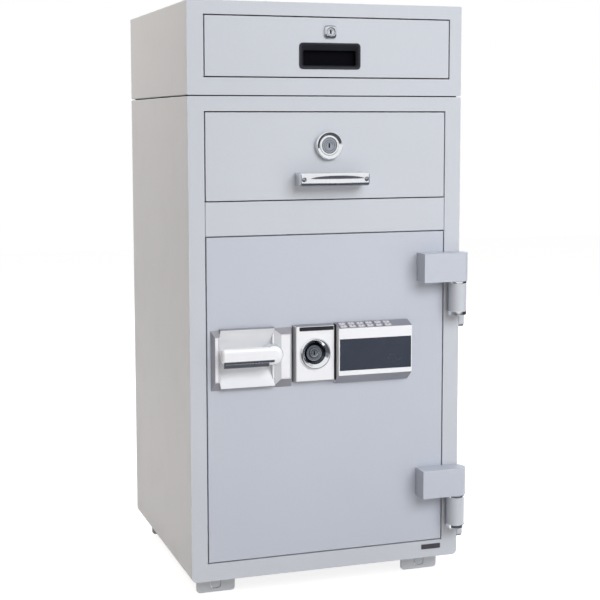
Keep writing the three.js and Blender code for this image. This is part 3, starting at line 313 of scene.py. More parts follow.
paint = enamel("cabinet_enamel", colour(204, 207, 213), colour(200, 203, 209))
door_paint = enamel("door_enamel", colour(198, 202, 211), colour(194, 198, 208))
# The feet's enamel is lighter, raised to offset the shade they stand in under the cabinet: partly
# painted light.
foot_paint_with_painted_light = enamel("foot_enamel_with_painted_light", colour(223, 226, 230), colour(218, 221, 225))
inner_paint = enamel("inner_enamel", colour(182, 186, 192), colour(174, 178, 185), 0.46, 0.00004)
chrome = bright_metal("polished_chrome", colour(236, 238, 241), 0.07, 0.07, HAIRLINES)
# Plated steel for bolts, cams, sleeves and legs, also laid under the lever's bar as a painted
# shade band.
bolt_chrome_and_painted_shade = bright_metal("bolt_chrome_and_painted_shade", colour(216, 219, 224), 0.16, 0.1, HAIRLINES)
handle_chrome = bright_metal("handle_chrome", colour(236, 238, 241), 0.17, 0.04, HAIRLINES)
# A bright pale finish for the lever, the hub face and the side panels, also laid on the
# left-facing ends of the lock block and keypad as painted light.
pearl_and_painted_light = bright_metal("pearl_chrome_and_painted_light", colour(248, 248, 250), 0.32, 0.02, HAIRLINES, 0.1)
# A dimmer copy of the bright pale finish: painted shade on the recessed saddle, and painted light
# on the left-facing slope by the hub.
saddle_pearl_painted_light = bright_metal("saddle_pearl_painted_light", colour(243, 244, 246), 0.3, 0.02, HAIRLINES, 0.08)
# Dull plating for sleeves, plugs and screws, also laid as painted shade on the till lock head's
# lower half and top edge and on the handle's lower edge.
nickel_and_painted_shade = bright_metal("dull_nickel_and_painted_shade", colour(156, 161, 170), 0.18, 0.1, NO_LINES)
# Dark chrome on the slope of the key ring's dish: a painted dark reflection.
dish_painted_reflection = bright_metal("dish_painted_reflection", colour(42, 46, 52), 0.12, 0.04, NO_LINES)
satin = satin_metal("satin_casting", colour(170, 169, 176), 0.32, colour(154, 153, 161))
zinc = zinc_plate("zinc_plate")
steel = turned_steel("turned_steel", colour(164, 167, 172))
black = moulded_plastic(
    "black_moulding", colour(34, 35, 43), colour(64, 66, 75), 0.46, 1500, 0.00003,
)
# Near black laid in the pull's deep cup, inside the keyways and in the till case's seam: painted
# shade.
recess_painted_shade = moulded_plastic(
    "recess_painted_shade", colour(9, 9, 14), colour(17, 17, 25), 0.7, 1500, 0.00003, 0.08,
)
# Black for the label bar and key digits, also laid as painted shade on the downward ends of the
# hinge legs and in the gap right of the lock block.
label_print_and_painted_shade = moulded_plastic(
    "label_lacquer_and_painted_shade", colour(30, 31, 36), colour(70, 72, 78), 0.3, 2500, 0.00001,
)
badge_grey = moulded_plastic(
    "badge_lacquer", colour(66, 62, 70), colour(96, 92, 100), 0.4, 2500, 0.00001,
)
keycap = moulded_plastic(
    "keycap_moulding", colour(218, 215, 220), colour(226, 224, 228), 0.4, 2200, 0.00002,
)
window = smoked_window("smoked_window")


# Meshes


def welded(node):
    """A CAD node's mesh in clean flat faces."""
    mesh = bmesh.new()
    mesh.from_mesh(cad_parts[node].data)
    bmesh.ops.remove_doubles(mesh, verts=mesh.verts, dist=WELD)
    bmesh.ops.dissolve_limit(
        mesh, angle_limit=FLAT, verts=mesh.verts, edges=mesh.edges, use_dissolve_boundaries=False,
    )
    return mesh


def ease(mesh, width, steps=2):
    """Rounds the sharp edges and marks their crests for the finish."""
    edges = [
        edge for edge in mesh.edges
        if len(edge.link_faces) == 2 and edge.calc_face_angle() > SHARP
    ]
    made = bmesh.ops.bevel(
        mesh, geom=edges, offset=width, offset_type="OFFSET", segments=steps, profile=0.5,
        clamp_overlap=True, affect="EDGES",
    )
    strips = set(made["faces"])
    crest = mesh.verts.layers.float.get("edge") or mesh.verts.layers.float.new("edge")
    for vert in mesh.verts:
        if vert.link_faces and all(face in strips for face in vert.link_faces):
            vert[crest] = 1.0
    return mesh


def piece(name, mesh, body, finishes, replaces=()):
    """One named piece on its body, standing for the CAD nodes that it replaces."""
    data = bpy.data.meshes.new(name)
    bmesh.ops.recalc_face_normals(mesh, faces=mesh.faces)
    mesh.to_mesh(data)
    mesh.free()
    for finish in finishes if isinstance(finishes, list) else [finishes]:
        data.materials.append(finish)
    data.shade_smooth()
    data.set_sharp_from_angle(angle=SMOOTH)
    made = bpy.data.objects.new(name, data)
    bpy.context.scene.collection.objects.link(made)
    even = made.modifiers.new("even_normals", "WEIGHTED_NORMAL")
    even.keep_sharp = True
    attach(made, body)
    if replaces:
        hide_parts(*replaces)


def eased(node, body, finishes, width, pick=None):
    """A copy of a CAD node with eased edges. pick gives a face's finish from place and normal."""
    mesh = welded(node)
    if pick:
        for face in mesh.faces:
            place = PLACE.inverted() @ face.calc_center_median()
            face.material_index = pick(place, face.normal)
    ease(mesh, width * MM)
    piece(f"{node}_eased", mesh, body, finishes, [node])


def lofted(rings, closed=False):
    """A skin through rings with the same number of points, capped unless it closes on itself."""
    mesh = bmesh.new()
    rows = [[mesh.verts.new(point) for point in ring] for ring in rings]
    count = len(rows[0])
    pairs = list(zip(rows, rows[1:])) + ([(rows[-1], rows[0])] if closed else [])
    for low, high in pairs:
        for i in range(count):
            j = (i + 1) % count
            mesh.faces.new((low[i], low[j], high[j], high[i]))
    if not closed:
        mesh.faces.new(rows[0][::-1])
        mesh.faces.new(rows[-1])
    return mesh


def layered(outline, depths):
    """A skin with the same outline, in x and z, at each depth."""
    return lofted([[(x, depth, z) for x, z in outline] for depth in depths])


def filleted(points, radius, steps=4):
    """A closed polyline with rounded corners; radius is one value or one for each point."""
    count = len(points)
    made = []
    for i, point in enumerate(points):
        size = radius[i] if isinstance(radius, list) else radius
        corner = Vector(point)
        if size <= 0:
            made.append(corner)
            continue
        before, after = Vector(points[i - 1]) - corner, Vector(points[(i + 1) % count]) - corner
        start = corner + before.normalized() * min(size, before.length * CORNER_REACH)
        end = corner + after.normalized() * min(size, after.length * CORNER_REACH)
        for step in range(steps + 1):
            t = step / steps
            made.append(start * (1 - t) ** 2 + corner * 2 * t * (1 - t) + end * t ** 2)
    return made


def spun(profile, steps, point):
    """A skin round an axis. profile is a closed loop of pairs of a radius and a distance along
    the axis, and point gives the place for two distances across the axis and one along it."""
    rings = []
    for step in range(steps):
        angle = 2 * math.pi * step / steps
        c, s = math.cos(angle), math.sin(angle)
        rings.append([point(c * radius, s * radius, along) for radius, along in profile])
    return lofted(rings, closed=True)


def turned(profile, x, z, steps=ROUND_STEPS):
    """A piece turned about an axis along Y through x and z; its profile may also run from
    axis to axis."""
    mesh = spun(profile, steps, lambda right, up, depth: (x + right, depth, z + up))
    bmesh.ops.remove_doubles(mesh, verts=mesh.verts, dist=AXIS_WELD)
    return mesh


def rounded_ring(x0, x1, z0, z1, radius, steps=6):
    """Points of a rounded rectangle, bottom left corner first."""
    corners = [(x0, z0), (x1, z0), (x1, z1), (x0, z1)]
    return [(point.x, point.y) for point in filleted(corners, radius, steps)]


def placed(mesh):
    """Millimetres from the cabinet's corner to metres in the CAD's frame."""
    mesh.transform(PLACE)
    return mesh


def cut(target, *tools):
    """Cuts meshes, given in the same units, out of a mesh."""
    for tool in tools:
        objects = []
        for mesh in (target, tool):
            data = bpy.data.meshes.new("cutting")
            bmesh.ops.recalc_face_normals(mesh, faces=mesh.faces)
            mesh.to_mesh(data)
            mesh.free()
            made = bpy.data.objects.new("cutting", data)
            bpy.context.scene.collection.objects.link(made)
            objects.append(made)
        modifier = objects[0].modifiers.new("cut", "BOOLEAN")
        modifier.operation, modifier.object, modifier.solver = "DIFFERENCE", objects[1], "EXACT"
        graph = bpy.context.evaluated_depsgraph_get()
        target = bmesh.new()
        target.from_mesh(objects[0].evaluated_get(graph).data)
        for made in objects:
            data = made.data
            bpy.data.objects.remove(made)
            bpy.data.meshes.remove(data)
    return target


def block(x0, x1, y0, y1, z0, z1):
    """A plain box, used as a cutter."""
    return lofted([[(x, y0, z0), (x, y1, z0), (x, y1, z1), (x, y0, z1)] for x in (x0, x1)])


def plate(name, x0, x1, y0, y1, z0, z1, body, finish, radius=0.8, easing=0.3):
    """A thin plate with rounded corners and eased edges."""
    mesh = layered(rounded_ring(x0, x1, z0, z1, radius), (y0, y1))
    piece(name, placed(ease(mesh, easing)), body, finish)


# Cabinet, feet, chute and slides


def case_seam_painted_shade(place, normal):
    """Painted shade on the upright faces that stand in the case's seam, enamel elsewhere."""
    return int(place.z < CASE_SEAM and abs(normal.z) < 0.5)


eased("safe_body", "base", paint, 0.9)
eased("till_case", "base", [paint, recess_painted_shade], 0.9, case_seam_painted_shade)
eased("rail_panel", "base", paint, 0.5)
for foot in ("front_left_foot", "front_right_foot", "rear_left_foot", "rear_right_foot"):
    eased(foot, "base", foot_paint_with_painted_light, 0.5)
for place in ("upper", "lower"):
    eased(f"hinge_pin_{place}", "base", steel, 0.4)
    eased(f"hinge_block_{place}", "door", door_paint, 1.2)
eased("bolt_keeper", "base", steel, 0.4)
eased("drop_chute", "base", zinc, 0.3)
for side in ("left", "right"):
    eased(f"till_slide_outer_{side}", "base", zinc, 0.3)
    eased(f"till_slide_middle_{side}", f"till_middle_{side}", zinc, 0.3)
    eased(f"till_slide_inner_{side}", "till_drawer", zinc, 0.3)
    eased(f"deposit_slide_outer_{side}", "base", zinc, 0.3)
    eased(f"deposit_slide_inner_{side}", "deposit_drawer", zinc, 0.3)


# Hinge knuckles, each between two bright rings, over a leg whose downward end is dark as painted
# shade


def hinge_ring(name, bottom, top):
    """A ring round the knuckle, turned about the upright hinge axis."""
    x, y = HINGE
    inner, outer = 13, 15.9
    corners = [(inner, bottom), (outer, bottom), (outer, top), (inner, top)]
    ring = spun(filleted(corners, 0.7), SMALL_STEPS,
                lambda right, back, level: (x + right, y + back, level))
    piece(name, placed(ring), "base", chrome)


def hinge_knuckle(place, level):
    """A painted knuckle; the downward faces at the end of its leg are dark, as painted shade."""
    leg_end, ring_low, ring_high = level - 26, level - 4.6, level + 49.6

    def knuckle_leg_painted_shade(spot, normal):
        return int(spot.z < leg_end and normal.z < -0.3)

    eased(f"hinge_knuckle_{place}", "base", [paint, label_print_and_painted_shade], 0.9,
          knuckle_leg_painted_shade)
    hinge_ring(f"hinge_ring_top_{place}", ring_high, ring_high + 3.8)
    hinge_ring(f"hinge_ring_bottom_{place}", ring_low, ring_low + 6.4)


for place, level in KNUCKLES:
    hinge_knuckle(place, level)


# Drawers, door and boltwork

eased("till_drawer_front", "till_drawer", paint, 0.8)
eased("deposit_drawer_front", "deposit_drawer", paint, 0.8)
eased("door_plate", "door", door_paint, 0.9)
eased("till_tray", "till_drawer", inner_paint, 0.5)
eased("deposit_tray", "deposit_drawer", inner_paint, 0.5)
eased("door_body", "door", inner_paint, 1.0)
for number in range(1, 4):
    eased(f"lock_bolt_{number}", "boltwork", bolt_chrome_and_painted_shade, 0.3)
eased("bolt_carrier", "boltwork", steel, 0.5)


# Lock plugs


def lock_plug(name, body, node, axis, radius, front, back, cam_length, finish, keyway):
    """A plug with its keyway, given wide and tall, a raised rim and the cam behind."""
    (x, z), (wide, tall) = axis, keyway
    rim, keyway_depth, cam_half, cam_thick = 0.6, 4, 6.5, 3
    face = turned(filleted([
        (0, front + rim), (radius * 0.62, front + rim), (radius * 0.7, front),
        (radius, front), (radius, back + cam_thick), (0, back + cam_thick),
    ], [0, 0.2, 0.3, 0.5, 0.3, 0]), x, z, SMALL_STEPS)
    face = cut(face, block(x - wide / 2, x + wide / 2, front - 2, front + keyway_depth,
                           z - tall / 2, z + tall / 2))
    # The keyway's inside takes the near black finish: painted shade.
    for part in face.faces:
        spot = part.calc_center_median()
        beside, above = abs(spot.x - x) - wide / 2, abs(spot.z - z) - tall / 2
        part.material_index = int(max(beside, above) < 0.1 and spot.y > front + 0.2)
    piece(name, placed(face), body, [finish, recess_painted_shade], [node])
    outline = rounded_ring(x - cam_half, x + cam_length, z - cam_half, z + cam_half, cam_half)
    cam = layered(outline, (back, back + cam_thick))
    piece(f"{name}_cam", placed(ease(cam, 0.4)), body, bolt_chrome_and_painted_shade)


# Till lock: a square head with a round dish, its sleeve and plug


def till_lock():
    x, z = TILL_LOCK
    half, proud, back = 10.5, 6, 24
    bore, dish_rim, dish_wall, shade_top_edge = 6.3, 7.8, 7.2, 8
    rings = []
    for inset, depth, radius in (
        (0, -0.3, 6), (0, 4 - proud, 6), (0.7, 2.1 - proud, 5.7), (1.8, 0.8 - proud, 5),
        (3.4, -proud, 4),
    ):
        size = half - inset
        outline = rounded_ring(x - size, x + size, z - size, z + size, radius)
        rings.append([(u, depth, v) for u, v in outline])
    head = lofted(rings)
    dish = turned(filleted([
        (0, -proud - 3), (dish_rim, -proud - 3), (7.6, -proud), (6.8, 1.5 - proud),
        (bore, 1.5 - proud), (bore, 6), (0, 6),
    ], [0, 0, 0, 0.6, 0.2, 0, 0]), x, z, SMALL_STEPS)
    # Beyond the dish, the head's lower half and its top edge take the dull plating: painted
    # shade.
    for face in head.faces:
        spot = face.calc_center_median()
        out = max(abs(spot.x - x), abs(spot.z - z))
        face.material_index = int(out > dish_wall and (spot.z < z or spot.z > z + shade_top_edge))
    piece("till_lock_head", placed(cut(head, dish)), "till_drawer",
          [bolt_chrome_and_painted_shade, nickel_and_painted_shade], ["till_lock_barrel"])
    sleeve = turned([(bore, -0.3), (8.5, -0.3), (8.5, back), (bore, back)], x, z, SMALL_STEPS)
    piece("till_lock_sleeve", placed(ease(sleeve, 0.4)), "till_drawer", bolt_chrome_and_painted_shade)
    lock_plug("till_lock_core", "till_plug", "till_lock_plug", TILL_LOCK, radius=6, front=-4.3,
              back=back + 0.3, cam_length=31, finish=bolt_chrome_and_painted_shade, keyway=(3, 6.2))


till_lock()


# Recessed pull: one skin from the back of the cup round the flange and down into the cup


def recessed_pull():
    x0, x1, z0, z1 = 188.6, 296, 882.2, 925.2
    cup_depth, left_wall, right_wall = 4.7, 7, 5
    rings = []
    for left, right, bottom, top, depth, radius in (
        (4.6, 4.6, 4.6, 4.6, 15, 3), (4.3, 4.3, 4.3, 4.3, -0.3, 3), (0, 0, 0, 0, -0.3, 7),
        (0, 0, 0, 0, -0.9, 7), (0.5, 0.5, 0.5, 0.5, -1.4, 6.6), (2.4, 2.4, 2.4, 2.4, -1.4, 5.2),
        (3.2, 3.2, 3.2, 3.6, -1.0, 4.6), (8.6, 6.8, 6.4, 12, 4.6, 2.4),
        (8.8, 7.0, 6.6, 12.2, 5.6, 2.2), (7.5, 6.6, 6.2, 7.5, 13.2, 2.4),
    ):
        outline = rounded_ring(x0 + left, x1 - right, z0 + bottom, z1 - top, radius)
        rings.append([(u, depth, v) for u, v in outline])
    mesh = lofted(rings)
    # The deep cup takes the near black finish, the flange the black moulding: painted shade in
    # the cup.
    for face in mesh.faces:
        spot = face.calc_center_median()
        inside = x0 + left_wall < spot.x < x1 - right_wall
        face.material_index = int(inside and spot.y > cup_depth)
    piece("till_pull_moulding", placed(mesh), "till_drawer",
          [black, recess_painted_shade], ["recess_pull"])


recessed_pull()


# Deposit lock: a heavy turned ring, its sleeve and plug


def deposit_lock():
    x, z = DEPOSIT_LOCK
    inner, outer, proud, back = 13.1, 23.5, -9, 24
    ring = turned(filleted([
        (inner, -0.3), (outer, -0.3), (outer, -7.4), (22.3, proud), (21.4, proud),
        (16.6, -6.1), (16.0, -6.9), (13.6, -6.9), (inner, -6.3),
    ], [0, 0.3, 1.4, 0.8, 0.8, 0.5, 0.4, 0.3, 0.3]), x, z)
    notch = block(x + 15, x + 24, -12, -7.6, z - 1.3, z + 1.3)
    piece("deposit_lock_ring", placed(cut(ring, notch)), "deposit_drawer", chrome,
          ["deposit_lock_barrel"])
    sleeve = turned(filleted([
        (9.3, -6.2), (12.2, -6.2), (13, -5.5), (13, back), (9.3, back),
    ], [0.3, 0.4, 0.4, 0.4, 0.4]), x, z)
    piece("deposit_lock_sleeve", placed(sleeve), "deposit_drawer", nickel_and_painted_shade)
    lock_plug("deposit_lock_core", "deposit_plug", "deposit_lock_plug", DEPOSIT_LOCK, radius=9,
              front=-6.0, back=back + 0.3, cam_length=66, finish=nickel_and_painted_shade, keyway=(2.6, 7.6))


deposit_lock()


# Bar handle: a bowed bar with a lens-shaped hollow, two legs and two screws


def handle_bar(x0, z, length, front, back):
    """The bar, its rolled lower edge in a darker plating as painted shade."""
    half, bow, corner, roll = 11, 3, 2.6, 5.2
    stations, face_points, corner_steps = 72, 24, 5
    hollow_middle, hollow_half_length = x0 + length / 2 + 3, 51
    hollow_level, hollow_half_height, hollow_depth = 0.3, 5.9, 2.1

    def ring(share):
        x = x0 + length * share
        end = min(share, 1 - share) * length
        shrink = 1.6 * max(0, 1 - end / 2.2) ** 2
        height = half - shrink
        face = front - bow * math.sin(math.pi * share) + shrink
        points = [
            (x, back - shrink * 0.5, z - height + corner * 0.6),
            (x, back - corner * 0.6, z - height),
        ]
        for i in range(corner_steps + 1):
            angle = math.pi / 2 * i / corner_steps
            points.append((x, face + roll * (1 - math.sin(angle)),
                           z - height + roll * (1 - math.cos(angle))))
        for i in range(1, face_points):
            v = -height + roll + (2 * height - roll - corner) * i / face_points
            hollow = max(0, 1 - ((x - hollow_middle) / hollow_half_length) ** 2
                         - ((v - hollow_level) / hollow_half_height) ** 2)
            points.append((x, face + hollow_depth * hollow ** 1.5, z + v))
        for i in range(corner_steps + 1):
            angle = math.pi / 2 * (1 - i / corner_steps)
            points.append((x, face + corner * (1 - math.sin(angle)),
                           z + height - corner * (1 - math.cos(angle))))
        points.append((x, back - corner * 0.6, z + height))
        points.append((x, back - shrink * 0.5, z + height - corner * 0.6))
        return points

    ends = [0, 0.002, 0.006, 0.012, 0.018]
    shares = ends + [0.03 + 0.94 * i / stations for i in range(stations + 1)]
    shares += [1 - share for share in ends[::-1]]
    bar = lofted([ring(share) for share in shares])
    # Faces along the rolled lower edge take the darker plating: painted shade.
    for part in bar.faces:
        spot = part.calc_center_median()
        part.material_index = int(spot.z < z - half + roll * 0.8 and spot.y < back - corner)
    return bar


def drawer_handle():
    x0, z, length, front, back = 180, 702, 120.6, -34, -25
    leg_size, screw_inset, well, screw_top = 10.4, 5.8, 4.2, 3.7
    screws = [x0 + screw_inset, x0 + length - screw_inset]
    wells = [
        turned([(0, -45), (well, -45), (well, -32.6), (0, -32.6)], x, z, 32) for x in screws
    ]
    bar = cut(handle_bar(x0, z, length, front, back), *wells)
    piece("drawer_handle_bar", placed(bar), "deposit_drawer",
          [handle_chrome, nickel_and_painted_shade], ["drawer_handle"])
    for side, near in (("left", x0 + 0.6), ("right", x0 + length - 11)):
        rings = []
        for depth, grow in ((back - 2, 0), (back + 2, 0), (-3, 0), (-0.9, 0.5), (-0.3, 0.5)):
            outline = rounded_ring(near - grow + 0.4, near + leg_size + grow,
                                   z - leg_size - grow, z + leg_size + grow, 2)
            rings.append([(u, depth, v) for u, v in outline])
        piece(f"drawer_handle_leg_{side}", placed(lofted(rings)), "deposit_drawer",
              bolt_chrome_and_painted_shade)
    for side, x in zip(("left", "right"), screws):
        head = turned(filleted([
            (0, -34.3), (1.4, -34.3), (screw_top, -33.4), (screw_top, -32.4), (0, -32.4),
        ], [0, 0.8, 0.6, 0.2, 0]), x, z, SMALL_STEPS)
        slots = [block(x - 2.4, x + 2.4, -36, -33.5, z - 0.4, z + 0.4),
                 block(x - 0.4, x + 0.4, -36, -33.5, z - 2.4, z + 2.4)]
        piece(f"drawer_handle_screw_{side}", placed(cut(head, *slots)), "deposit_drawer",
              nickel_and_painted_shade)


drawer_handle()


# Lever bezel and lever


def bezel_finish(place, normal):
    """Satin bevels (0), bright side panels (1), and the saddle and left-facing slope by the hub
    (2) in a dimmer pale finish: painted shade on the saddle, painted light on the slope.
    """
    x, y, z = place
    saddle = 49 < x < 142.5 and y > -9.9 and normal.y < -0.15 and abs(normal.x) < 0.3
    slope = 140 < x < 155 and normal.x < TO_LEFT
    panel = y < -8.5 and normal.y < TO_FRONT and 336 < z - SAFE_BOTTOM < 411.5 and (
        40 < x < 47.2 or 153.5 < x < 170.5
    )
    return 1 if panel else 2 * int(saddle or slope)


eased("lever_bezel", "door", [satin, pearl_and_painted_light, saddle_pearl_painted_light], 0.5, bezel_finish)


def lever():
    x, z = LEVER
    tip, front, thick, half, painted_shade_band = 47.5, -30, 15, 13.5, 7.5
    hub_flat, hub_radius, spindle, spindle_end = 15, 17.3, 6, 41

    def section(at, shrink):
        size, depth = half - shrink, thick / 2 - shrink
        middle = front + thick / 2
        outline = rounded_ring(-depth, depth, -size, size, min(6.5, depth * 0.9), 8)
        return [(at, middle + u, z + v) for u, v in outline]

    bar = lofted([
        section(tip, 4.2), section(tip + 0.5, 2.6), section(tip + 1.4, 1.3),
        section(tip + 3.2, 0.3), section(tip + 5, 0), section(x - 20, 0), section(x, 0),
    ])
    # Faces below the bar's lower edge take the darker plated chrome: a painted shade band under
    # the lever.
    for face in bar.faces:
        face.material_index = int(face.calc_center_median().z < z - painted_shade_band)
    piece("lever_bar", placed(bar), "lever", [pearl_and_painted_light, bolt_chrome_and_painted_shade],
          ["lever_handle"])
    # The rib under the bar stands in for the dark band of shade under the lever, in chrome that
    # mirrors the dark floor card.
    rib = lofted([
        [(at, -29.3, z - 8), (at, -27.4, z - 17.8), (at, -21, z - 18.8), (at, -18, z - 8)]
        for at in (tip + 2.4, x - 9)
    ])
    piece("lever_shade_band_rib", placed(ease(rib, 0.8, 3)), "lever", chrome)
    hub = turned(filleted([
        (0, front + 0.2), (10.6, front + 0.2), (16.3, front + 4), (hub_radius, front + 9),
        (hub_radius, -5), (spindle, -5), (spindle, spindle_end), (0, spindle_end),
    ], [0, 6, 4, 2, 0.6, 0.3, 0.5, 0]), x, z)
    for face in hub.faces:
        spot = face.calc_center_median()
        face.material_index = int(math.hypot(spot.x - x, spot.z - z) > hub_flat)
    piece("lever_hub", placed(hub), "lever", [pearl_and_painted_light, handle_chrome])
    crank = layered(rounded_ring(x - 7, x + 7, z - 37, z + 7, 7), (35, spindle_end))
    piece("lever_crank", placed(ease(crank, 0.5)), "lever", steel)
    pin = turned(filleted([(0, 20), (3, 20), (3, 36), (0, 36)], [0, 0.5, 0.3, 0]), x, z - 30,
                 SMALL_STEPS)
    piece("lever_crank_pin", placed(pin), "lever", steel)


lever()


# Key lock: a bright block with a bare label bar, a dished ring and its plug


def lock_block_finish(_place, normal):
    """Bright front; the left end bright too, as painted light; satin elsewhere."""
    return 0 if normal.y < TO_FRONT or normal.x < TO_LEFT else 1


def key_lock():
    x, z = KEY_LOCK
    bore, sleeve, back, outer = 8.8, 12, 27, 26.5
    dish_edge, dish_floor = 18.5, 13.5
    eased("lock_block", "door", [pearl_and_painted_light, satin], 0.6, lock_block_finish)
    ring = turned(filleted([
        (23.5, -13.6), (outer, -13.6), (outer, -15.8), (25.2, -17.1), (23.6, -17.1),
        (22.4, -16.2), (18.6, -12.5), (14.6, -8.6), (dish_floor, -7.1), (bore, -7.1),
        (bore, back), (sleeve, back), (sleeve, -5.1), (16, -6.1), (23.5, -12.6),
    ], [0.2, 0.3, 0.8, 0.7, 0.7, 0.8, 0, 1, 0.8, 0.4, 0.3, 0.3, 0.3, 0.5, 0.4]), x, z)
    # The dish's slope is dark chrome, a painted dark reflection; its floor round the plug takes
    # the dull plating.
    for face in ring.faces:
        spot = face.calc_center_median()
        away = math.hypot(spot.x - x, spot.z - z)
        face.material_index = int(away < dish_edge) + int(away < dish_floor)
    piece("key_ring_dish", placed(ring), "door", [chrome, dish_painted_reflection, nickel_and_painted_shade],
          ["key_barrel"])
    lock_plug("key_lock_core", "key_cylinder", "key_plug", KEY_LOCK, radius=8.5, front=-9.1,
              back=back + 0.3, cam_length=24, finish=nickel_and_painted_shade, keyway=(1.8, 7))
    # Strips in the gaps beside the block: the right one black, a painted shadow in the gap; the
    # left one grey steel.
    for side, near, far, depth, finish in (
        ("left", 174.8, 175.7, -7, steel), ("right", 248.1, 249.1, -11.6, label_print_and_painted_shade),
    ):
        plate(f"lock_seam_{side}", near, far, depth, -0.5, 364, 458.5,
              "door", finish, 0.2, 0.1)
    plate("label_bar", 184, 244, -14.1, -13.2, 415 + SAFE_BOTTOM, 421.5 + SAFE_BOTTOM, "door",
          label_print_and_painted_shade)


key_lock()


# Keypad


def housing_finish(place, normal):
    """Bright front face; the left end bright too, as painted light; satin slopes and right end.
    """
    return int(normal.y < TO_FRONT and place.y < -24 or normal.x < TO_LEFT)


eased("keypad_housing", "door", [satin, pearl_and_painted_light], 0.7, housing_finish)


def keypad_digit(number, place):
    """A key's digit, printed on its top."""
    letter = bpy.data.curves.new("digit", "FONT")
    letter.body = KEY_DIGITS[number - 1]
    letter.align_x, letter.align_y = "CENTER", "CENTER"
    letter.size, letter.extrude, letter.resolution_u = 4.4 * MM, 0.04 * MM, 3
    holder = bpy.data.objects.new("digit", letter)
    bpy.context.scene.collection.objects.link(holder)
    view = bpy.context.evaluated_depsgraph_get()
    shape = bpy.data.meshes.new_from_object(holder.evaluated_get(view))
    mesh = bmesh.new()
    mesh.from_mesh(shape)
    bmesh.ops.remove_doubles(mesh, verts=mesh.verts, dist=0.001 * MM)
    for vert in mesh.verts:
        x, y, z = vert.co
        vert.co = place + KEY_RIGHT * x + KEY_UP * y + KEY_OUT * z
    bpy.data.objects.remove(holder)
    bpy.data.meshes.remove(shape)
    bpy.data.curves.remove(letter)
    piece(f"keypad_digit_{number:02d}", mesh, f"key_{number:02d}", label_print_and_painted_shade)


def keypad_key(number):
    """A key cap a little slimmer than its opening, so that a dark line stands round it."""
    slimmer_across, slimmer_up = 0.12, 0.16
    node = f"keypad_key_{number:02d}"
    mesh = welded(node)
    middle = sum((vert.co for vert in mesh.verts), Vector()) / len(mesh.verts)
    for vert in mesh.verts:
        away = vert.co - middle
        vert.co -= (Vector((slimmer_across * away.x, 0, 0))
                    + KEY_UP * (slimmer_up * away.dot(KEY_UP)))
    ease(mesh, 0.8 * MM)
    top = max(vert.co.dot(KEY_OUT) for vert in mesh.verts) - middle.dot(KEY_OUT)
    piece(f"{node}_eased", mesh, f"key_{number:02d}", keycap, [node])
    keypad_digit(number, middle + KEY_OUT * (top + 0.02 * MM))


for number in range(1, len(KEY_DIGITS) + 1):
    keypad_key(number)
plate("keypad_smoked_window", 251.4, 379.8, -24.9, -23.8, 381.3, 434.4, "door",
      window, 1.0, 0.25)
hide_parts("keypad_window")

# Bare badge on the frame
plate("frame_badge", 412.7, 448.3, -0.9, 0.1, 15 + SAFE_BOTTOM, 23.4 + SAFE_BOTTOM, "base",
      badge_grey)


# Studio: pale floor, white surroundings, soft light and the photograph's camera. Metres.

scene = bpy.context.scene
scene.view_settings.view_transform = "Standard"


def floor():
    """A pale matt floor whose own glow takes it to white."""
    mesh = bmesh.new()
    bmesh.ops.create_grid(mesh, x_segments=1, y_segments=1, size=6)
    data = bpy.data.meshes.new("floor")
    mesh.to_mesh(data)
    mesh.free()
    made = Finish("pale_floor")
    tree = made.tree
    tree.nodes.remove(made.shader)
    pale = made.blend(made.noise(3, 3.0), (0.45, 0.44, 0.43, 1), (0.48, 0.47, 0.46, 1))
    matt = made.node("ShaderNodeBsdfDiffuse", {}, {"Color": pale})
    white = made.node("ShaderNodeEmission", {}, {"Strength": made.background_rays() * 0.83})
    both = made.node("ShaderNodeAddShader", {}, {0: matt, 1: white})
    tree.links.new(both.socket, tree.nodes["Material Output"].inputs["Surface"])
    data.materials.append(made.material)
    plane = bpy.data.objects.new("floor", data)
    scene.collection.objects.link(plane)


def flag(name, corners, tone):
    """A dark card that only polished metal sees, which gives chrome its dark reflections."""
    data = bpy.data.meshes.new(name)
    data.from_pydata(corners, [], [(0, 1, 2, 3)])
    made = Finish(name)
    cloth = made.blend(made.noise(4, 3.0), tone, tuple(0.8 * value for value in tone[:3]) + (1,))
    made.set(Base_Color=cloth, Roughness=0.9 + made.noise(9, 2.0) * 0.05)
    data.materials.append(made.material)
    card = bpy.data.objects.new(name, data)
    card.visible_camera = card.visible_diffuse = card.visible_shadow = False
    scene.collection.objects.link(card)


def upright(x, near, far):
    """The corners of a card that stands beside the safe, a metre high."""
    return [(x, near, 0), (x, far, 0), (x, far, 1), (x, near, 1)]


def surroundings():
    """A plain white background, and soft light that is dimmer and warmer from the left."""
    world = bpy.data.worlds.new("studio")
    scene.world = world
    world.use_nodes = True
    tree = world.node_tree
    tree.nodes.clear()
    made = Finish("studio", tree)
    direction = made.node("ShaderNodeTexCoord", output="Generated")
    across = made.node("ShaderNodeSeparateXYZ", {}, {0: direction})
    tone = made.blend(made.between(across, -0.7, 0.1), (0.3, 0.25, 0.19, 1), (0.94, 0.96, 1, 1))
    white = made.node("ShaderNodeBackground", {}, {"Color": (1, 1, 1, 1), "Strength": 1})
    soft = made.node("ShaderNodeBackground", {}, {"Color": tone, "Strength": 0.45})
    shown = made.node("ShaderNodeMixShader", {}, {0: made.background_rays(), 1: soft, 2: white})
    end = tree.nodes.new("ShaderNodeOutputWorld")
    tree.links.new(shown.socket, end.inputs["Surface"])


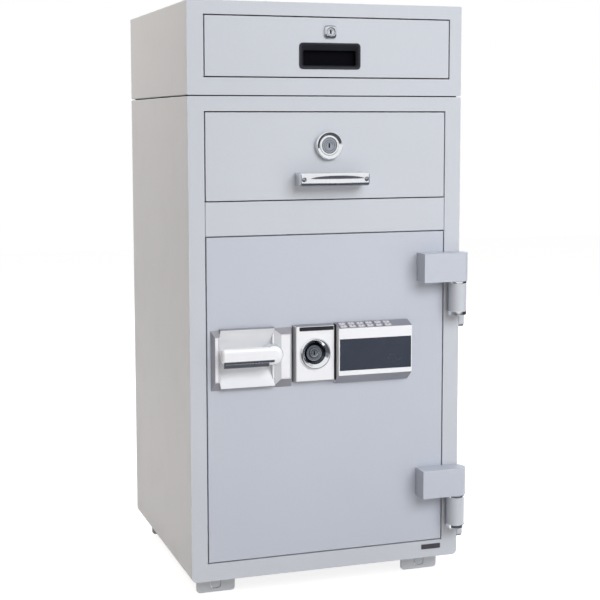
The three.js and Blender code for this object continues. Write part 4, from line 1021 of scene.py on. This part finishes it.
def lamp(name, place, aim, size, power, tint):
    """A soft rectangular lamp that neither the camera nor a reflection shows."""
    data = bpy.data.lights.new(name, "AREA")
    data.shape, data.size, data.size_y = "RECTANGLE", size[0], size[1]
    data.energy, data.color = power, tint
    made = bpy.data.objects.new(name, data)
    made.location = place
    made.rotation_euler = (Vector(aim) - Vector(place)).to_track_quat("-Z", "Y").to_euler()
    made.visible_glossy = made.visible_camera = False
    scene.collection.objects.link(made)


def camera(place, angles, lens, shift_y):
    """The photograph's camera; its angles are pitch, yaw and roll in degrees."""
    data = bpy.data.cameras.new("camera")
    data.sensor_width, data.lens, data.shift_x, data.shift_y = 36, lens, 0, shift_y
    made = bpy.data.objects.new("camera", data)
    pitch, yaw, roll = (math.radians(angle) for angle in angles)
    forward = Vector((
        math.sin(yaw) * math.cos(pitch), math.cos(yaw) * math.cos(pitch), math.sin(pitch),
    ))
    right = Vector((math.cos(yaw), -math.sin(yaw), 0))
    up = right.cross(forward)
    side = right * math.cos(roll) + up * math.sin(roll)
    rise = up * math.cos(roll) - right * math.sin(roll)
    turn = Matrix((side, rise, -forward)).transposed().to_4x4()
    made.matrix_world = Matrix.Translation(place) @ turn
    scene.collection.objects.link(made)
    scene.camera = made


floor()
surroundings()
flag("front_flag", [(-2.6, -3.4, 0.004), (3.2, -3.4, 0.004), (3.2, -0.3, 0.004),
                    (-2.6, -0.3, 0.004)], (0.08, 0.085, 0.1, 1))
flag("left_flag", upright(-1.9, -2.4, -0.2), (0.3, 0.3, 0.32, 1))
flag("right_flag", upright(1.9, -1.8, 0.8), (0.05, 0.055, 0.06, 1))
lamp("key_light", (0.7, -2.7, 2.0), (0, 0, 0.85), (2.4, 1.4), 62.8, (0.95, 0.97, 1))
lamp("low_light", (1.5, -1.9, 0.4), (0.24, -0.2, 0.3), (0.9, 0.5), 3.8, (1, 1, 0.99))
lamp("side_light", (-1.5, 0.5, 2.2), (-0.24, 0, 0.95), (1.0, 0.8), 25, (1, 0.9, 0.79))
lamp("foot_light", (0.1, -1.3, 0.03), (0, -0.2, 0.01), (1.6, 0.05), 1.4, (1, 1, 1))
lamp("back_light", (1.3, 2.6, 1.9), (0.1, 0.2, 0.5), (1.8, 1.4), 34, (1, 1, 1))
lamp("top_light", (0, 0.3, 3.2), (0, 0, 0.9), (2.0, 2.0), 14, (1, 1, 1))
camera((-0.76204, -2.31212, 0.79545), (-5.848, 18.517, -0.103), 80.69, -0.0667)
